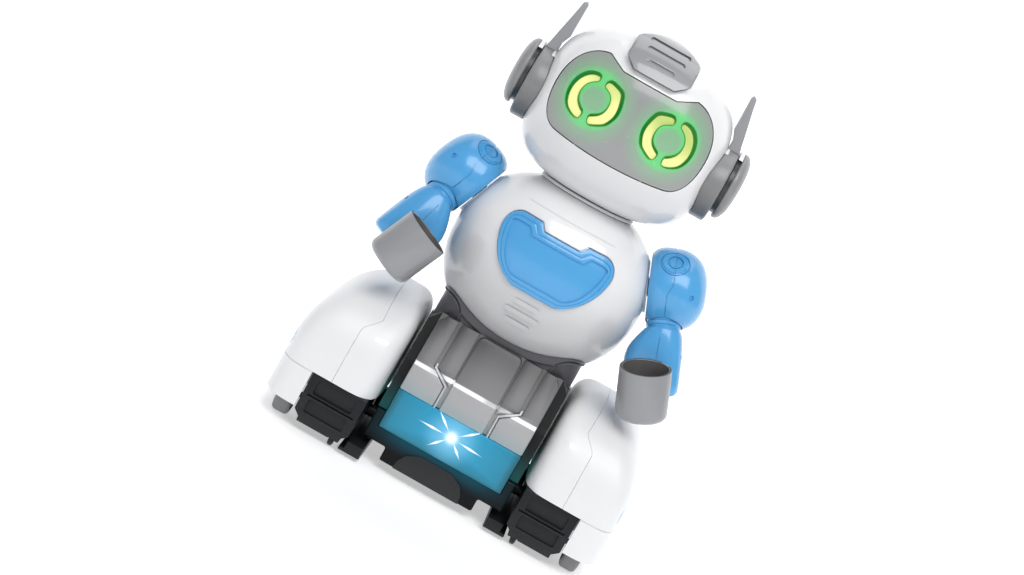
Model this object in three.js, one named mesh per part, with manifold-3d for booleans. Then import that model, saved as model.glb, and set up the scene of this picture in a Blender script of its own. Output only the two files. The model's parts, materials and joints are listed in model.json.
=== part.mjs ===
// Walking humanoid robot toy: a battery powered robot that walks on two cranked legs.
// Millimetres, +Z up, the face looks along -Y, the robot's own left side is +X.
// The origin is on the ground, in the middle of the footprint.

import * as THREE from "three";
import { mergeVertices } from "three/addons/utils/BufferGeometryUtils.js";
import Module from "manifold-3d";

const wasm = await Module();
wasm.setup();

// ---- driving dimensions ----------------------------------------------------------------

const GAP = 0.35;               // clearance between neighbouring mouldings
const WALL = 1.8;               // thickness of the outer casings

// The head and the torso are eggs: superellipse profiles above and below a widest level.
const HEAD = { mid: 162, up: 34, down: 32.5, wide: 39.1, deep: 33, sharpUp: 2.8, sharpDown: 3.5, plan: 2.3 };
const TORSO = { mid: 96, up: 35, down: 37, wide: 41.3, deep: 33, sharpUp: 2.4, sharpDown: 2.2, plan: 2.25 };
const HEAD_FLOOR = 130.2;       // flat underside of the head
const TORSO_TOP = 128.6;        // flat top of the torso
const CASE_SPLIT = 2;           // Y of the joint between front and rear casings

const NECK_RADIUS = 12;
const EYE = { x: 16.25, z: 166.5, halfWide: 11, halfTall: 9.8, stroke: 4.7, gap: 1.5 };
const EAR = { z: 158.6, radius: 15.3, face: 43.7, domeZ: 160.6, domeRadius: 14, domeTip: 50.4, stem: 12.4 };

const BODY_HALF = 31;           // half width of the lower body
const BODY_TOP = 64.6;
const BODY_BOTTOM = 22.3;       // lower edge of its side walls
const TUB = { half: 30.8, deep: 36, floor: 3.9, step: 9.5, stepHalf: 20.5, rim: 15.6, side: 22 };
const LIGHT = { half: 27, bottom: 15.95, top: 32.9, face: 37 };

const SHAFT = { y: 18, z: 15.5, radius: 5, pin: 2.4, throwOff: 2.5, tip: 41 };
const WORM_Z = 28.3;
const WHEEL_TEETH = 20;

const LEG = { inner: 32.5, outer: 73.6, ridge: 44, deep: 44, top: 64.2, skirt: 9.2, hem: 24.3, skirtInner: 58.7 };
const SHOE = { inner: 34.7, outer: 58.2, top: 24, bottom: 3.5, deep: 43.8 };
const SOLE = { inner: 27.3, outer: 34.2, lip: 36.4, lipTop: 3.1, top: 6.4 };
const ROLLER = { x: 64, y: 28, radius: 9.8, half: 3.5 };
const NUB = { x: 40.2, y: 35.4, radius: 4.4, half: 1.1 };

const TILT = THREE.MathUtils.degToRad(23);   // shoulder axis, up from the horizontal
const SHOULDER = { x: 46.8, z: 113.4, radius: 16.6, waist: -1, face: 8.8, tip: 14.15 };
const RIGHT_SWING = THREE.MathUtils.degToRad(13);   // the right arm rests further forward
const RIGHT_TWIST = THREE.MathUtils.degToRad(-8);   // and its forearm is turned in a little
const CUP = { y: -27, radius: 10.3, wall: 1.2, length: 20.4 };

// ---- solids -----------------------------------------------------------------------------

function solid(geometry) {
  const bare = geometry.clone();
  bare.deleteAttribute("normal");
  bare.deleteAttribute("uv");
  const merged = mergeVertices(bare, 1e-4);
  return new wasm.Manifold(new wasm.Mesh({
    numProp: 3,
    vertProperties: new Float32Array(merged.attributes.position.array),
    triVerts: new Uint32Array(merged.index.array),
  }));
}

function geometryOf(body) {
  const mesh = body.getMesh();
  const points = new Float32Array(mesh.numVert * 3);
  for (let i = 0; i < mesh.numVert; i += 1) {
    for (let k = 0; k < 3; k += 1) {
      points[i * 3 + k] = mesh.vertProperties[i * mesh.numProp + k];
    }
  }
  const geometry = new THREE.BufferGeometry();
  geometry.setAttribute("position", new THREE.BufferAttribute(points, 3));
  geometry.setIndex(new THREE.BufferAttribute(new Uint32Array(mesh.triVerts), 1));
  return geometry;
}

function mirrored(body) {
  const geometry = geometryOf(body);
  geometry.scale(-1, 1, 1);
  const index = geometry.index.array;
  for (let i = 0; i < index.length; i += 3) {
    [index[i + 1], index[i + 2]] = [index[i + 2], index[i + 1]];
  }
  return geometry;
}

// Join a list of solids into one.
function join(...bodies) {
  return bodies.reduce((whole, body) => whole.add(body));
}

// Cut a list of solids out of the first.
function cut(body, ...tools) {
  return tools.reduce((rest, tool) => rest.subtract(tool), body);
}

function box(x0, x1, y0, y1, z0, z1) {
  const geometry = new THREE.BoxGeometry(x1 - x0, y1 - y0, z1 - z0);
  geometry.translate((x0 + x1) / 2, (y0 + y1) / 2, (z0 + z1) / 2);
  return solid(geometry);
}

// A closed skin over a stack of rings; every ring has the same number of points.
function loft(rings) {
  const sides = rings[0].length;
  const points = rings.flat();
  const index = [];
  for (let r = 0; r + 1 < rings.length; r += 1) {
    for (let s = 0; s < sides; s += 1) {
      const a = r * sides + s;
      const b = r * sides + (s + 1) % sides;
      index.push(a, b, b + sides, a, b + sides, a + sides);
    }
  }
  const last = (rings.length - 1) * sides;
  for (let s = 1; s + 1 < sides; s += 1) {
    index.push(0, s + 1, s);
    index.push(last, last + s, last + s + 1);
  }
  const geometry = new THREE.BufferGeometry();
  geometry.setAttribute("position", new THREE.Float32BufferAttribute(points.flat(), 3));
  geometry.setIndex(index);
  return solid(geometry);
}

// One level ring: a superellipse from x0 to x1 and half as deep as given either side of y.
function levelRing(x0, x1, y, deep, z, sharp, sides) {
  const ring = [];
  for (let s = 0; s < sides; s += 1) {
    const angle = (s / sides) * Math.PI * 2;
    const c = Math.cos(angle);
    const k = Math.sin(angle);
    const x = Math.sign(c) * Math.abs(c) ** (2 / sharp);
    const d = Math.sign(k) * Math.abs(k) ** (2 / sharp);
    ring.push([(x0 + x1) / 2 + x * (x1 - x0) / 2, y + d * deep, z]);
  }
  return ring;
}

// How full a superellipse profile still is, a share t of the way to its tip.
function fullness(t, sharp) {
  return Math.max(0, 1 - Math.abs(t) ** sharp) ** (1 / sharp);
}

// An egg-shaped casing form, grown all round, with its own growth at the top if wanted.
function egg(shape, grow, lift = grow) {
  const STEPS = 5;
  const SIDES = 20;
  const rings = [];
  for (let i = -STEPS; i <= STEPS; i += 1) {
    const t = Math.sin((i / STEPS) * Math.PI * 0.485);
    const reach = i < 0 ? shape.down + grow : shape.up + lift;
    const full = fullness(t, i < 0 ? shape.sharpDown : shape.sharpUp);
    const wide = (shape.wide + grow) * full;
    const deep = (shape.deep + grow) * full;
    rings.push(levelRing(-wide, wide, 0, deep, shape.mid + t * reach, shape.plan, SIDES));
  }
  return loft(rings);
}

// A round bar between two distances along an axis, centred on the other two coordinates.
function bar(axis, radius, from, to, u, v, sides = 16) {
  const geometry = new THREE.CylinderGeometry(radius, radius, to - from, sides);
  const mid = (from + to) / 2;
  if (axis === "x") {
    geometry.rotateZ(Math.PI / 2);
    geometry.translate(mid, u, v);
  } else if (axis === "y") {
    geometry.translate(u, mid, v);
  } else {
    geometry.rotateX(Math.PI / 2);
    geometry.translate(u, v, mid);
  }
  return solid(geometry);
}

// A turned piece about the X axis through (y, z): profile points are [x, radius].
function turned(profile, y, z, sides = 16) {
  const points = profile.map(([x, r]) => new THREE.Vector2(r, x));
  const geometry = new THREE.LatheGeometry(points, sides);
  geometry.rotateZ(-Math.PI / 2);
  geometry.translate(0, y, z);
  return solid(geometry);
}

// A front outline in X and Z, extruded from y0 to y1.
function frontPrism(shape, y0, y1, curveSegments = 5) {
  const geometry = new THREE.ExtrudeGeometry(shape, { depth: y1 - y0, bevelEnabled: false, curveSegments });
  geometry.rotateX(Math.PI / 2);
  geometry.translate(0, y1, 0);
  return solid(geometry);
}

// A side outline in Y and Z, extruded from x0 to x1.
function sidePrism(points, x0, x1) {
  const shape = new THREE.Shape(points.map(([y, z]) => new THREE.Vector2(y, z)));
  const geometry = new THREE.ExtrudeGeometry(shape, { depth: x1 - x0, bevelEnabled: false });
  geometry.applyMatrix4(new THREE.Matrix4().set(0, 0, 1, x0, 1, 0, 0, 0, 0, 1, 0, 0, 0, 0, 0, 1));
  return solid(geometry);
}

function polygon(points) {
  return new THREE.Shape(points.map(([x, z]) => new THREE.Vector2(x, z)));
}

const FAR = 120;                                           // beyond every casing
const frontHalf = box(-FAR, FAR, -FAR, CASE_SPLIT - GAP / 2, 0, 220);
const rearHalf = box(-FAR, FAR, CASE_SPLIT + GAP / 2, FAR, 0, 220);

// ---- materials --------------------------------------------------------------------------

function plastic(color, roughness, metalness = 0) {
  return new THREE.MeshStandardMaterial({ color, roughness, metalness });
}

const white = plastic("#eceef1", 0.22);
const grey = plastic("#96979a", 0.3);
const darkGrey = plastic("#4c4b4f", 0.4);
const blue = plastic("#3f95dc", 0.25);
const black = plastic("#25282a", 0.5);
const eyeGlow = plastic("#e4f27a", 0.3);
const barGlow = plastic("#1f9fd4", 0.2);
const board = plastic("#1f6b3a", 0.5);
const steel = plastic("#b9bcc0", 0.3, 1);
const nylon = plastic("#e2ddcd", 0.5);

const robot = new THREE.Group();

function place(name, body, material, group = robot) {
  const geometry = body instanceof THREE.BufferGeometry ? body : geometryOf(body);
  const mesh = new THREE.Mesh(geometry, material);
  mesh.name = name;
  group.add(mesh);
}

// The same piece on the robot's left (+X) and, mirrored, on its right.
function placePair(name, body, material, leftGroup = robot, rightGroup = robot) {
  place(`left_${name}`, body, material, leftGroup);
  place(`right_${name}`, mirrored(body), material, rightGroup);
}

// ---- head -------------------------------------------------------------------------------

function faceOutline(grow) {
  const shape = new THREE.Shape();
  const side = 32.4 + grow;
  shape.moveTo(-11.5, 180.8 + grow);
  shape.lineTo(11.5, 180.8 + grow);
  shape.lineTo(19, 184.3 + grow);
  shape.bezierCurveTo(26.5, 183.3 + grow, side, 176.5, side, 165);
  shape.bezierCurveTo(side, 157.5, 30.5, 149.6 - grow, 23, 149 - grow);
  shape.bezierCurveTo(8, 147.1 - grow, -8, 147.1 - grow, -23, 149 - grow);
  shape.bezierCurveTo(-30.5, 149.6 - grow, -side, 157.5, -side, 165);
  shape.bezierCurveTo(-side, 176.5, -26.5, 183.3 + grow, -19, 184.3 + grow);
  return shape;
}

// One bracket-shaped light guide of an eye; side -1 is the left bracket, +1 the right one.
function eyeOutline(centre, side, grow) {
  const w = EYE.halfWide + grow;
  const h = EYE.halfTall + grow;
  const innerW = EYE.halfWide - EYE.stroke - grow;
  const innerH = EYE.halfTall - EYE.stroke + 0.6 - grow;
  const end = EYE.gap - grow;
  const points = [
    [end, h], [0.62 * w, 0.84 * h], [w, 0.45 * h], [w, -0.45 * h], [0.62 * w, -0.84 * h], [end, -h],
    [end, -innerH], [0.72 * innerW, -0.84 * innerH], [innerW, -0.5 * innerH],
    [innerW, 0.5 * innerH], [0.72 * innerW, 0.84 * innerH], [end, innerH],
  ];
  return polygon(points.map(([x, z]) => [centre + side * x, EYE.z + z]));
}

function ventOutline(grow) {
  const half = 13.2 + grow;
  return polygon([
    [-half, 215], [-half, 187.6], [-8.6 - grow, 184 - grow], [8.6 + grow, 184 - grow], [half, 187.6], [half, 215],
  ]);
}

const EYE_ARCS = [
  ["right_eye_outer_arc", -EYE.x, -1],
  ["right_eye_inner_arc", -EYE.x, 1],
  ["left_eye_inner_arc", EYE.x, -1],
  ["left_eye_outer_arc", EYE.x, 1],
];

function buildHead() {
  const skin = cut(egg(HEAD, 0), egg(HEAD, -WALL));
  const floor = cut(egg(HEAD, 0), box(-FAR, FAR, -FAR, FAR, HEAD_FLOOR + WALL, 220));
  const shell = cut(
    join(skin, floor),
    box(-FAR, FAR, -FAR, FAR, 100, HEAD_FLOOR),
    bar("z", NECK_RADIUS + GAP, 120, 140, 0, 0),
  );
  const window = frontPrism(faceOutline(GAP), -60, -8);
  place("head_front_shell", cut(shell.intersect(frontHalf), window), white);
  place("head_rear_shell", shell.intersect(rearHalf), white);

  const eyeHoles = EYE_ARCS.map(([, centre, side]) => frontPrism(eyeOutline(centre, side, GAP), -60, -8));
  const panel = frontPrism(faceOutline(0), -60, -8).intersect(skin);
  place("face_panel", cut(panel, ...eyeHoles), grey);
  const guide = cut(egg(HEAD, 0.6), egg(HEAD, -WALL - 0.8));
  for (const [name, centre, side] of EYE_ARCS) {
    place(name, frontPrism(eyeOutline(centre, side, 0), -60, -8).intersect(guide), eyeGlow);
  }
  const ledBoard = box(-22, 22, -22.6, -21, 157, 176);
  const leds = [-22, -10, 10, 22].map((x) => bar("y", 2.5, -24.6, -21.5, x * 0.85, EYE.z, 12));
  place("eye_board", join(ledBoard, ...leds), board);

  const ventSlots = [[8.3, 197.1], [7.6, 193.9], [5.4, 189.5]].map(
    ([half, z]) => box(-half, half, -60, 0, z - 0.45, z + 0.45).intersect(cut(egg(HEAD, 9), egg(HEAD, 1.2, 2.6))),
  );
  const crown = bar("y", 24, -60, 60, 0, 176, 36);
  const vent = cut(egg(HEAD, 2.2, 4.2), egg(HEAD, GAP)).intersect(frontPrism(ventOutline(0), -60, 12)).intersect(crown);
  place("vent_plate", cut(vent, ...ventSlots), grey);

  const neck = join(
    bar("z", NECK_RADIUS, 122, 134.4, 0, 0),
    bar("z", 13.8, HEAD_FLOOR + WALL + GAP, 134.4, 0, 0),
    bar("z", 15, 122, 124, 0, 0),
  );
  place("neck_tube", cut(neck, bar("z", 8, 110, 150, 0, 0)), black);
}

function buildEars() {
  const { z, radius, face } = EAR;
  const baseProfile = [[30, 0], [30, radius], [face - 1.2, radius], [face, radius - 1.6], [face, 0]];
  placePair("ear_base", cut(turned(baseProfile, 0, z), egg(HEAD, GAP)), grey);

  const start = face + GAP;
  const rim = 45.7;
  const stem = EAR.stem;
  const dome = [[start, 0], [start, stem], [rim, stem], [rim, EAR.domeRadius], [rim + 0.7, EAR.domeRadius]];
  const bulge = EAR.domeTip - rim - 0.7;
  for (let i = 1; i < 4; i += 1) {
    const angle = (i / 4) * Math.PI / 2;
    dome.push([rim + 0.7 + bulge * Math.sin(angle), EAR.domeRadius * Math.cos(angle) ** 0.8]);
  }
  dome.push([EAR.domeTip, 0]);
  placePair("ear_dome", turned(dome, 0, EAR.domeZ), grey);

  const blade = polygon([
    [38.6, 168], [43.4, 168], [43.4, 173.8], [42.6, 176.5], [41.7, 180.9], [39.6, 190.5],
    [38.7, 195.3], [37.3, 196.2], [36.6, 194.9], [36.9, 180.9], [38.6, 177],
  ]);
  const side = sidePrism([[-4.6, 168], [4.6, 168], [4.2, 182], [2.2, 197], [-2.2, 197], [-4.2, 182]], 30, 50);
  const fin = cut(
    frontPrism(blade, -6, 6).intersect(side),
    bar("x", radius + GAP, 20, 60, 0, z, 36),
    egg(HEAD, GAP),
  );
  placePair("antenna_fin", fin, grey);
}

// ---- torso ------------------------------------------------------------------------------

function badgeOutline(grow) {
  const shape = new THREE.Shape();
  shape.moveTo(-8 + grow, 112.9 + grow);
  shape.lineTo(8 - grow, 112.9 + grow);
  shape.lineTo(10.3 - grow, 115.7 + grow);
  shape.lineTo(17.5, 115.7 + grow);
  shape.bezierCurveTo(22, 115.2 + grow, 24 + grow, 111.5, 23.6 + grow, 107.5);
  shape.bezierCurveTo(22.5 + grow, 99.5, 17 + grow, 91.5, 9.1, 89.4 - grow);
  shape.lineTo(-9.1, 89.4 - grow);
  shape.bezierCurveTo(-17 - grow, 91.5, -22.5 - grow, 99.5, -23.6 - grow, 107.5);
  shape.bezierCurveTo(-24 - grow, 111.5, -22, 115.2 + grow, -17.5, 115.7 + grow);
  shape.lineTo(-10.3 + grow, 115.7 + grow);
  return shape;
}

const AXIS = new THREE.Vector3(Math.cos(TILT), 0, Math.sin(TILT));
const SHOULDER_CENTRE = new THREE.Vector3(SHOULDER.x, 0, SHOULDER.z);

// Places a piece made about the Z axis so that Z points outwards along the left shoulder axis.
function alongShoulder(geometry) {
  geometry.rotateY(Math.PI / 2 - TILT);
  geometry.translate(SHOULDER_CENTRE.x, SHOULDER_CENTRE.y, SHOULDER_CENTRE.z);
  return solid(geometry);
}

function shoulderBar(radius, from, to, sides = 16) {
  const geometry = new THREE.CylinderGeometry(radius, radius, to - from, sides);
  geometry.rotateX(Math.PI / 2);
  geometry.translate(0, 0, (from + to) / 2);
  return alongShoulder(geometry);
}

const BATTERY = { radius: 7.1, half: 25.1, y: 13.2, levels: [81, 96, 111] };
const DOOR = { half: 24, bottom: 74, top: 113.5 };
const SPEAKER = { z: 94, cone: 13, magnet: 9, front: -19 };
const SWITCH = { z: 118.5, half: 3, travel: 2 };

function buildTorso() {
  const skin = cut(egg(TORSO, 0), egg(TORSO, -WALL));
  const face = -SHOULDER.face - 0.4;
  const boss = shoulderBar(10.5, face - 6, face);
  const bossRight = solid(mirrored(boss));
  const pegHole = shoulderBar(4.3, face - 20, face + 10);
  const seat = shoulderBar(SHOULDER.radius + 0.8, face, 20);
  const shell = cut(
    join(skin, boss, bossRight),
    box(-FAR, FAR, -FAR, FAR, TORSO_TOP, 220),
    bar("z", NECK_RADIUS + GAP, 110, 140, 0, 0),
    pegHole,
    solid(mirrored(pegHole)),
    seat,
    solid(mirrored(seat)),
  );
  const ribBand = cut(egg(TORSO, 0.6), egg(TORSO, -1));
  const ribs = [[5.2, 84.7], [7.2, 80.4], [5.2, 76.2]].map(
    ([half, z]) => box(-half, half, -60, -8, z - 0.7, z + 0.7).intersect(ribBand),
  );
  place("torso_front_shell", join(shell.intersect(frontHalf), ...ribs), white);

  const doorHole = box(-DOOR.half, DOOR.half, 12, 60, DOOR.bottom, DOOR.top);
  const switchHole = box(-SWITCH.half - SWITCH.travel - GAP, SWITCH.half + SWITCH.travel + GAP, 12, 60,
    SWITCH.z - 1.6, SWITCH.z + 1.6);
  place("torso_rear_shell", cut(shell.intersect(rearHalf), doorHole, switchHole), white);
  const door = box(-DOOR.half + GAP, DOOR.half - GAP, 12, 60, DOOR.bottom + GAP, DOOR.top - GAP);
  place("battery_door", skin.intersect(door), white);

  const slider = join(
    box(-SWITCH.half, SWITCH.half, 21, 28.6, SWITCH.z - 1.25, SWITCH.z + 1.25),
    box(-SWITCH.half - 5, SWITCH.half + 5, 19.6, 21.4, SWITCH.z - 3, SWITCH.z + 3),
  );
  place("power_switch", slider, black);

  const collar = loft([
    levelRing(-20.6, 20.6, 0, 16.6, TORSO_TOP + 0.2, 2.1, 24),
    levelRing(-20, 20, 0, 16, TORSO_TOP + 1.2, 2.1, 24),
  ]);
  place("neck_collar", cut(collar, bar("z", NECK_RADIUS + GAP, 110, 140, 0, 0)), white);

  const badge = cut(egg(TORSO, 1.5), egg(TORSO, GAP)).intersect(frontPrism(badgeOutline(0), -60, -8));
  const dish = cut(egg(TORSO, 4), egg(TORSO, 0.9)).intersect(frontPrism(badgeOutline(-3), -60, -8));
  place("chest_badge", cut(badge, dish), blue);

  BATTERY.levels.forEach((z, i) => {
    const cell = turned([
      [-BATTERY.half, 0], [-BATTERY.half, BATTERY.radius], [BATTERY.half - 1.4, BATTERY.radius],
      [BATTERY.half - 1.4, 2.7], [BATTERY.half, 2.7], [BATTERY.half, 0],
    ], BATTERY.y, z, 12);
    place(`battery_cell_${i + 1}`, cell, steel);
  });
  const chip = box(-7, 7, -12.6, -10.4, 88, 98);
  place("main_board", join(box(-21, 21, -14, -12.4, 72, 112), chip), board);
  const { z, cone, magnet, front } = SPEAKER;
  const speaker = join(bar("y", cone, front, front + 1.6, 0, z), bar("y", magnet, front + 1.2, front + 4.2, 0, z));
  place("speaker", speaker, steel);
}

const SIDE_RAIL = 32.1;   // X of the ribs that keep the legs off the body
const WAIST = { half: 32, deep: 22.6, bottom: 60.2, top: 75 };

// The cradle that carries the egg-shaped torso on the square lower body.
function buildWaist() {
  const block = loft([
    levelRing(-WAIST.half, WAIST.half, 0, WAIST.deep, WAIST.bottom, 4, 20),
    levelRing(-WAIST.half, WAIST.half, 0, WAIST.deep, WAIST.top, 4, 20),
  ]);
  const yoke = polygon([
    [-40, 90], [-40, 71.4], [-28, 70.6], [-23.4, 67.6], [-20.6, 63.4], [-20.2, 50],
    [20.2, 50], [20.6, 63.4], [23.4, 67.6], [28, 70.6], [40, 71.4], [40, 90],
  ]);
  const core = loft([
    levelRing(-28.6, 28.6, 0, 19.6, WAIST.bottom, 4, 20),
    levelRing(-29.4, 29.4, 0, 20.2, WAIST.top - 1.5, 4, 20),
  ]);
  const cradle = join(block.intersect(frontPrism(yoke, -60, 60)), core);
  place("waist_collar", cut(cradle, egg(TORSO, GAP), box(-21, 21, -14, 14, 50, 80)), darkGrey);
}

// ---- lower body -------------------------------------------------------------------------

// Front profile of the lower body in Y and Z, from the top down, set back by the given amount.
function frontProfile(back, top = BODY_TOP, bottom = BODY_BOTTOM) {
  return [[-25.2 + back, top], [-34.4 + back, 44.6], [-37 + back, 33.2], [-37 + back, bottom]];
}

// A plate that follows the front profile, between two widths.
function profileSlab(back, x0, x1, thick) {
  return sidePrism([...frontProfile(back), ...frontProfile(back + thick).reverse()], x0, x1);
}

// A block with the profile at its front and, mirrored, at its rear.
function profileBlock(back, half, top = BODY_TOP, bottom = BODY_BOTTOM) {
  const front = frontProfile(back, top, bottom);
  const rear = front.map(([y, z]) => [-y, z]).reverse();
  return sidePrism([...front, ...rear], -half, half);
}

function buildLowerBody() {
  const step = 1.2;        // how far the flanks lie behind the panels
  const edge = 3.4;        // and the outermost strips behind them
  const slab = 2.2;
  const seat = loft([
    levelRing(-WAIST.half - GAP, WAIST.half + GAP, 0, WAIST.deep + GAP, WAIST.bottom - GAP, 4, 20),
    levelRing(-WAIST.half - GAP, WAIST.half + GAP, 0, WAIST.deep + GAP, WAIST.top, 4, 20),
  ]);
  const casing = cut(
    join(profileBlock(step, LIGHT.half), profileBlock(edge, BODY_HALF)),
    profileBlock(step + WALL, LIGHT.half - WALL, BODY_TOP - WALL, 0),
    profileBlock(edge + WALL, BODY_HALF - WALL, BODY_TOP - WALL, 0),
  );
  const frontOnly = box(-FAR, FAR, -FAR, -GAP / 2, 0, 100);
  const rearOnly = box(-FAR, FAR, GAP / 2, FAR, 0, 100);
  const column = profileSlab(0, -9.7, 9.7, slab);
  const panelOutline = polygon([[19.4, 70], [19.4, 46], [12.6, 41.4], [12.6, 20], [26.8, 20], [26.8, 70]]);
  const sidePanel = profileSlab(step / 3, 10, 29, slab).intersect(frontPrism(panelOutline, -60, -10));
  const barHole = box(-LIGHT.half - GAP, LIGHT.half + GAP, -60, -30, 0, LIGHT.top + GAP);
  const front = join(casing.intersect(frontOnly), column, sidePanel, solid(mirrored(sidePanel)));
  place("lower_front_panel", cut(front, barHole, seat), grey);
  const rail = box(BODY_HALF - 0.6, SIDE_RAIL, 2, 6, 26, 58);
  const rear = join(cut(casing.intersect(rearOnly), seat), rail, solid(mirrored(rail)));
  place("lower_rear_panel", rear, grey);

  const { half, bottom, top, face } = LIGHT;
  const lens = sidePrism([
    [-face + 2.6, bottom], [-face + 2.6, top], [-face + 0.5, top], [-face, top - 0.8],
    [-face, bottom + 0.8], [-face + 0.5, bottom],
  ], -half, half);
  place("light_bar", lens, barGlow);
}

function buildBaseTub() {
  const { half, deep, floor, step, stepHalf, rim, side } = TUB;
  const section = (t) => polygon([
    [-stepHalf + t, floor + t], [stepHalf - t, floor + t], [stepHalf - t, step + t], [half - t, step + t],
    [half - t, side + t], [-half + t, side + t], [-half + t, step + t], [-stepHalf + t, step + t],
  ]);
  const body = cut(
    frontPrism(section(0), -deep, deep),
    frontPrism(section(2), -deep + 2, deep - 2),
    box(-LIGHT.half - GAP, LIGHT.half + GAP, -60, 60, rim, 40),
    bar("x", SHAFT.radius + GAP, -50, 50, -SHAFT.y, SHAFT.z),
    bar("x", SHAFT.radius + GAP, -50, 50, SHAFT.y, SHAFT.z),
  );
  const arch = polygon([[-14.5, floor], [-14.5, 7.5], [-12, 11.2], [-7, 13.4], [7, 13.4], [12, 11.2], [14.5, 7.5],
    [14.5, floor]]);
  const rail = box(half - 0.6, SOLE.outer, -2, 2, step, LEG.hem - SHAFT.throwOff - GAP);
  const plate = frontPrism(arch, -deep - 0.8, -deep + 1);
  place("base_tub", join(body, plate, rail, solid(mirrored(rail))), black);
}

// ---- drive ------------------------------------------------------------------------------

// A shaft across the base with an eccentric pin at each end, half a turn apart.
function crankShaft(y) {
  const { z, radius, pin, throwOff, tip } = SHAFT;
  return join(
    bar("x", radius, -30.6, 30.6, y, z),
    bar("x", pin, 30, tip, y + throwOff, z, 16),
    bar("x", pin, -tip, -30, y - throwOff, z, 16),
  );
}

function gearOutline(teeth, root, tip) {
  const points = [];
  for (let i = 0; i < teeth; i += 1) {
    for (const [share, r] of [[0, root], [0.5, tip]]) {
      const angle = ((i + share) / teeth) * Math.PI * 2;
      points.push(new THREE.Vector2(r * Math.cos(angle), r * Math.sin(angle)));
    }
  }
  return new THREE.Shape(points);
}

function buildDrive() {
  const gear = new THREE.ExtrudeGeometry(gearOutline(WHEEL_TEETH, 8, 9.3), { depth: 8, bevelEnabled: false });
  gear.rotateY(Math.PI / 2);
  gear.translate(-4, -SHAFT.y, SHAFT.z);
  place("drive_crank_shaft", join(crankShaft(-SHAFT.y), solid(gear)), black);
  place("idler_crank_shaft", crankShaft(SHAFT.y), black);

  const thread = [];
  for (let y = -23.4; y < -13; y += 2.6) {
    thread.push(bar("y", 3.1, y, y + 1.3, 0, WORM_Z, 8));
  }
  place("motor_worm", join(bar("y", 2.2, -26, -8.4, 0, WORM_Z, 8), ...thread), nylon);
  const can = join(box(-10, 10, -5, 20, WORM_Z - 7.5, WORM_Z + 7.5), bar("y", 4, -8, -4, 0, WORM_Z));
  place("drive_motor", can, steel);
}

// ---- legs -------------------------------------------------------------------------------

function legSolid(inset) {
  const rings = [];
  const SIDES = 18;
  const levels = [LEG.skirt - (inset ? 4 : 0), 30, 44, 54, 60.5, LEG.top - 0.05];
  for (const z of levels) {
    const out = fullness(Math.max(0, (z - 30) / (LEG.top - 30)), 2);
    const into = fullness(Math.max(0, (z - 50) / (LEG.top - 50)), 2.5);
    const deep = fullness(Math.max(0, (z - 22) / (LEG.top - 22)), 2.6);
    const x0 = LEG.ridge - (LEG.ridge - LEG.inner - inset) * into;
    const x1 = LEG.ridge + (LEG.outer - LEG.ridge - inset) * out;
    rings.push(levelRing(x0, x1, 0, (LEG.deep - inset) * deep, z - (z > 30 ? inset : 0), 5.5, SIDES));
  }
  return loft(rings);
}

// Inner side of the seam that runs down the front, over the top and down the back.
function seamSide(shift) {
  return polygon([
    [10, -10], [10, 90], [46.6 + shift, 90], [46.6 + shift, 66], [45 + shift, 53.2], [50.4 + shift, 47.5],
    [50.4 + shift, -10],
  ]);
}

const CAP = { z: 30.5, halfLong: 36.5, halfTall: 9, floor: 69.5 };

// Side outline of the blue panel on the outer side of a leg: a long oval.
function capOutline(grow) {
  const points = [];
  const SIDES = 20;
  for (let i = 0; i < SIDES; i += 1) {
    const angle = (i / SIDES) * Math.PI * 2;
    points.push([(CAP.halfLong + grow) * Math.cos(angle), CAP.z + (CAP.halfTall + grow) * Math.sin(angle)]);
  }
  return points;
}

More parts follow.
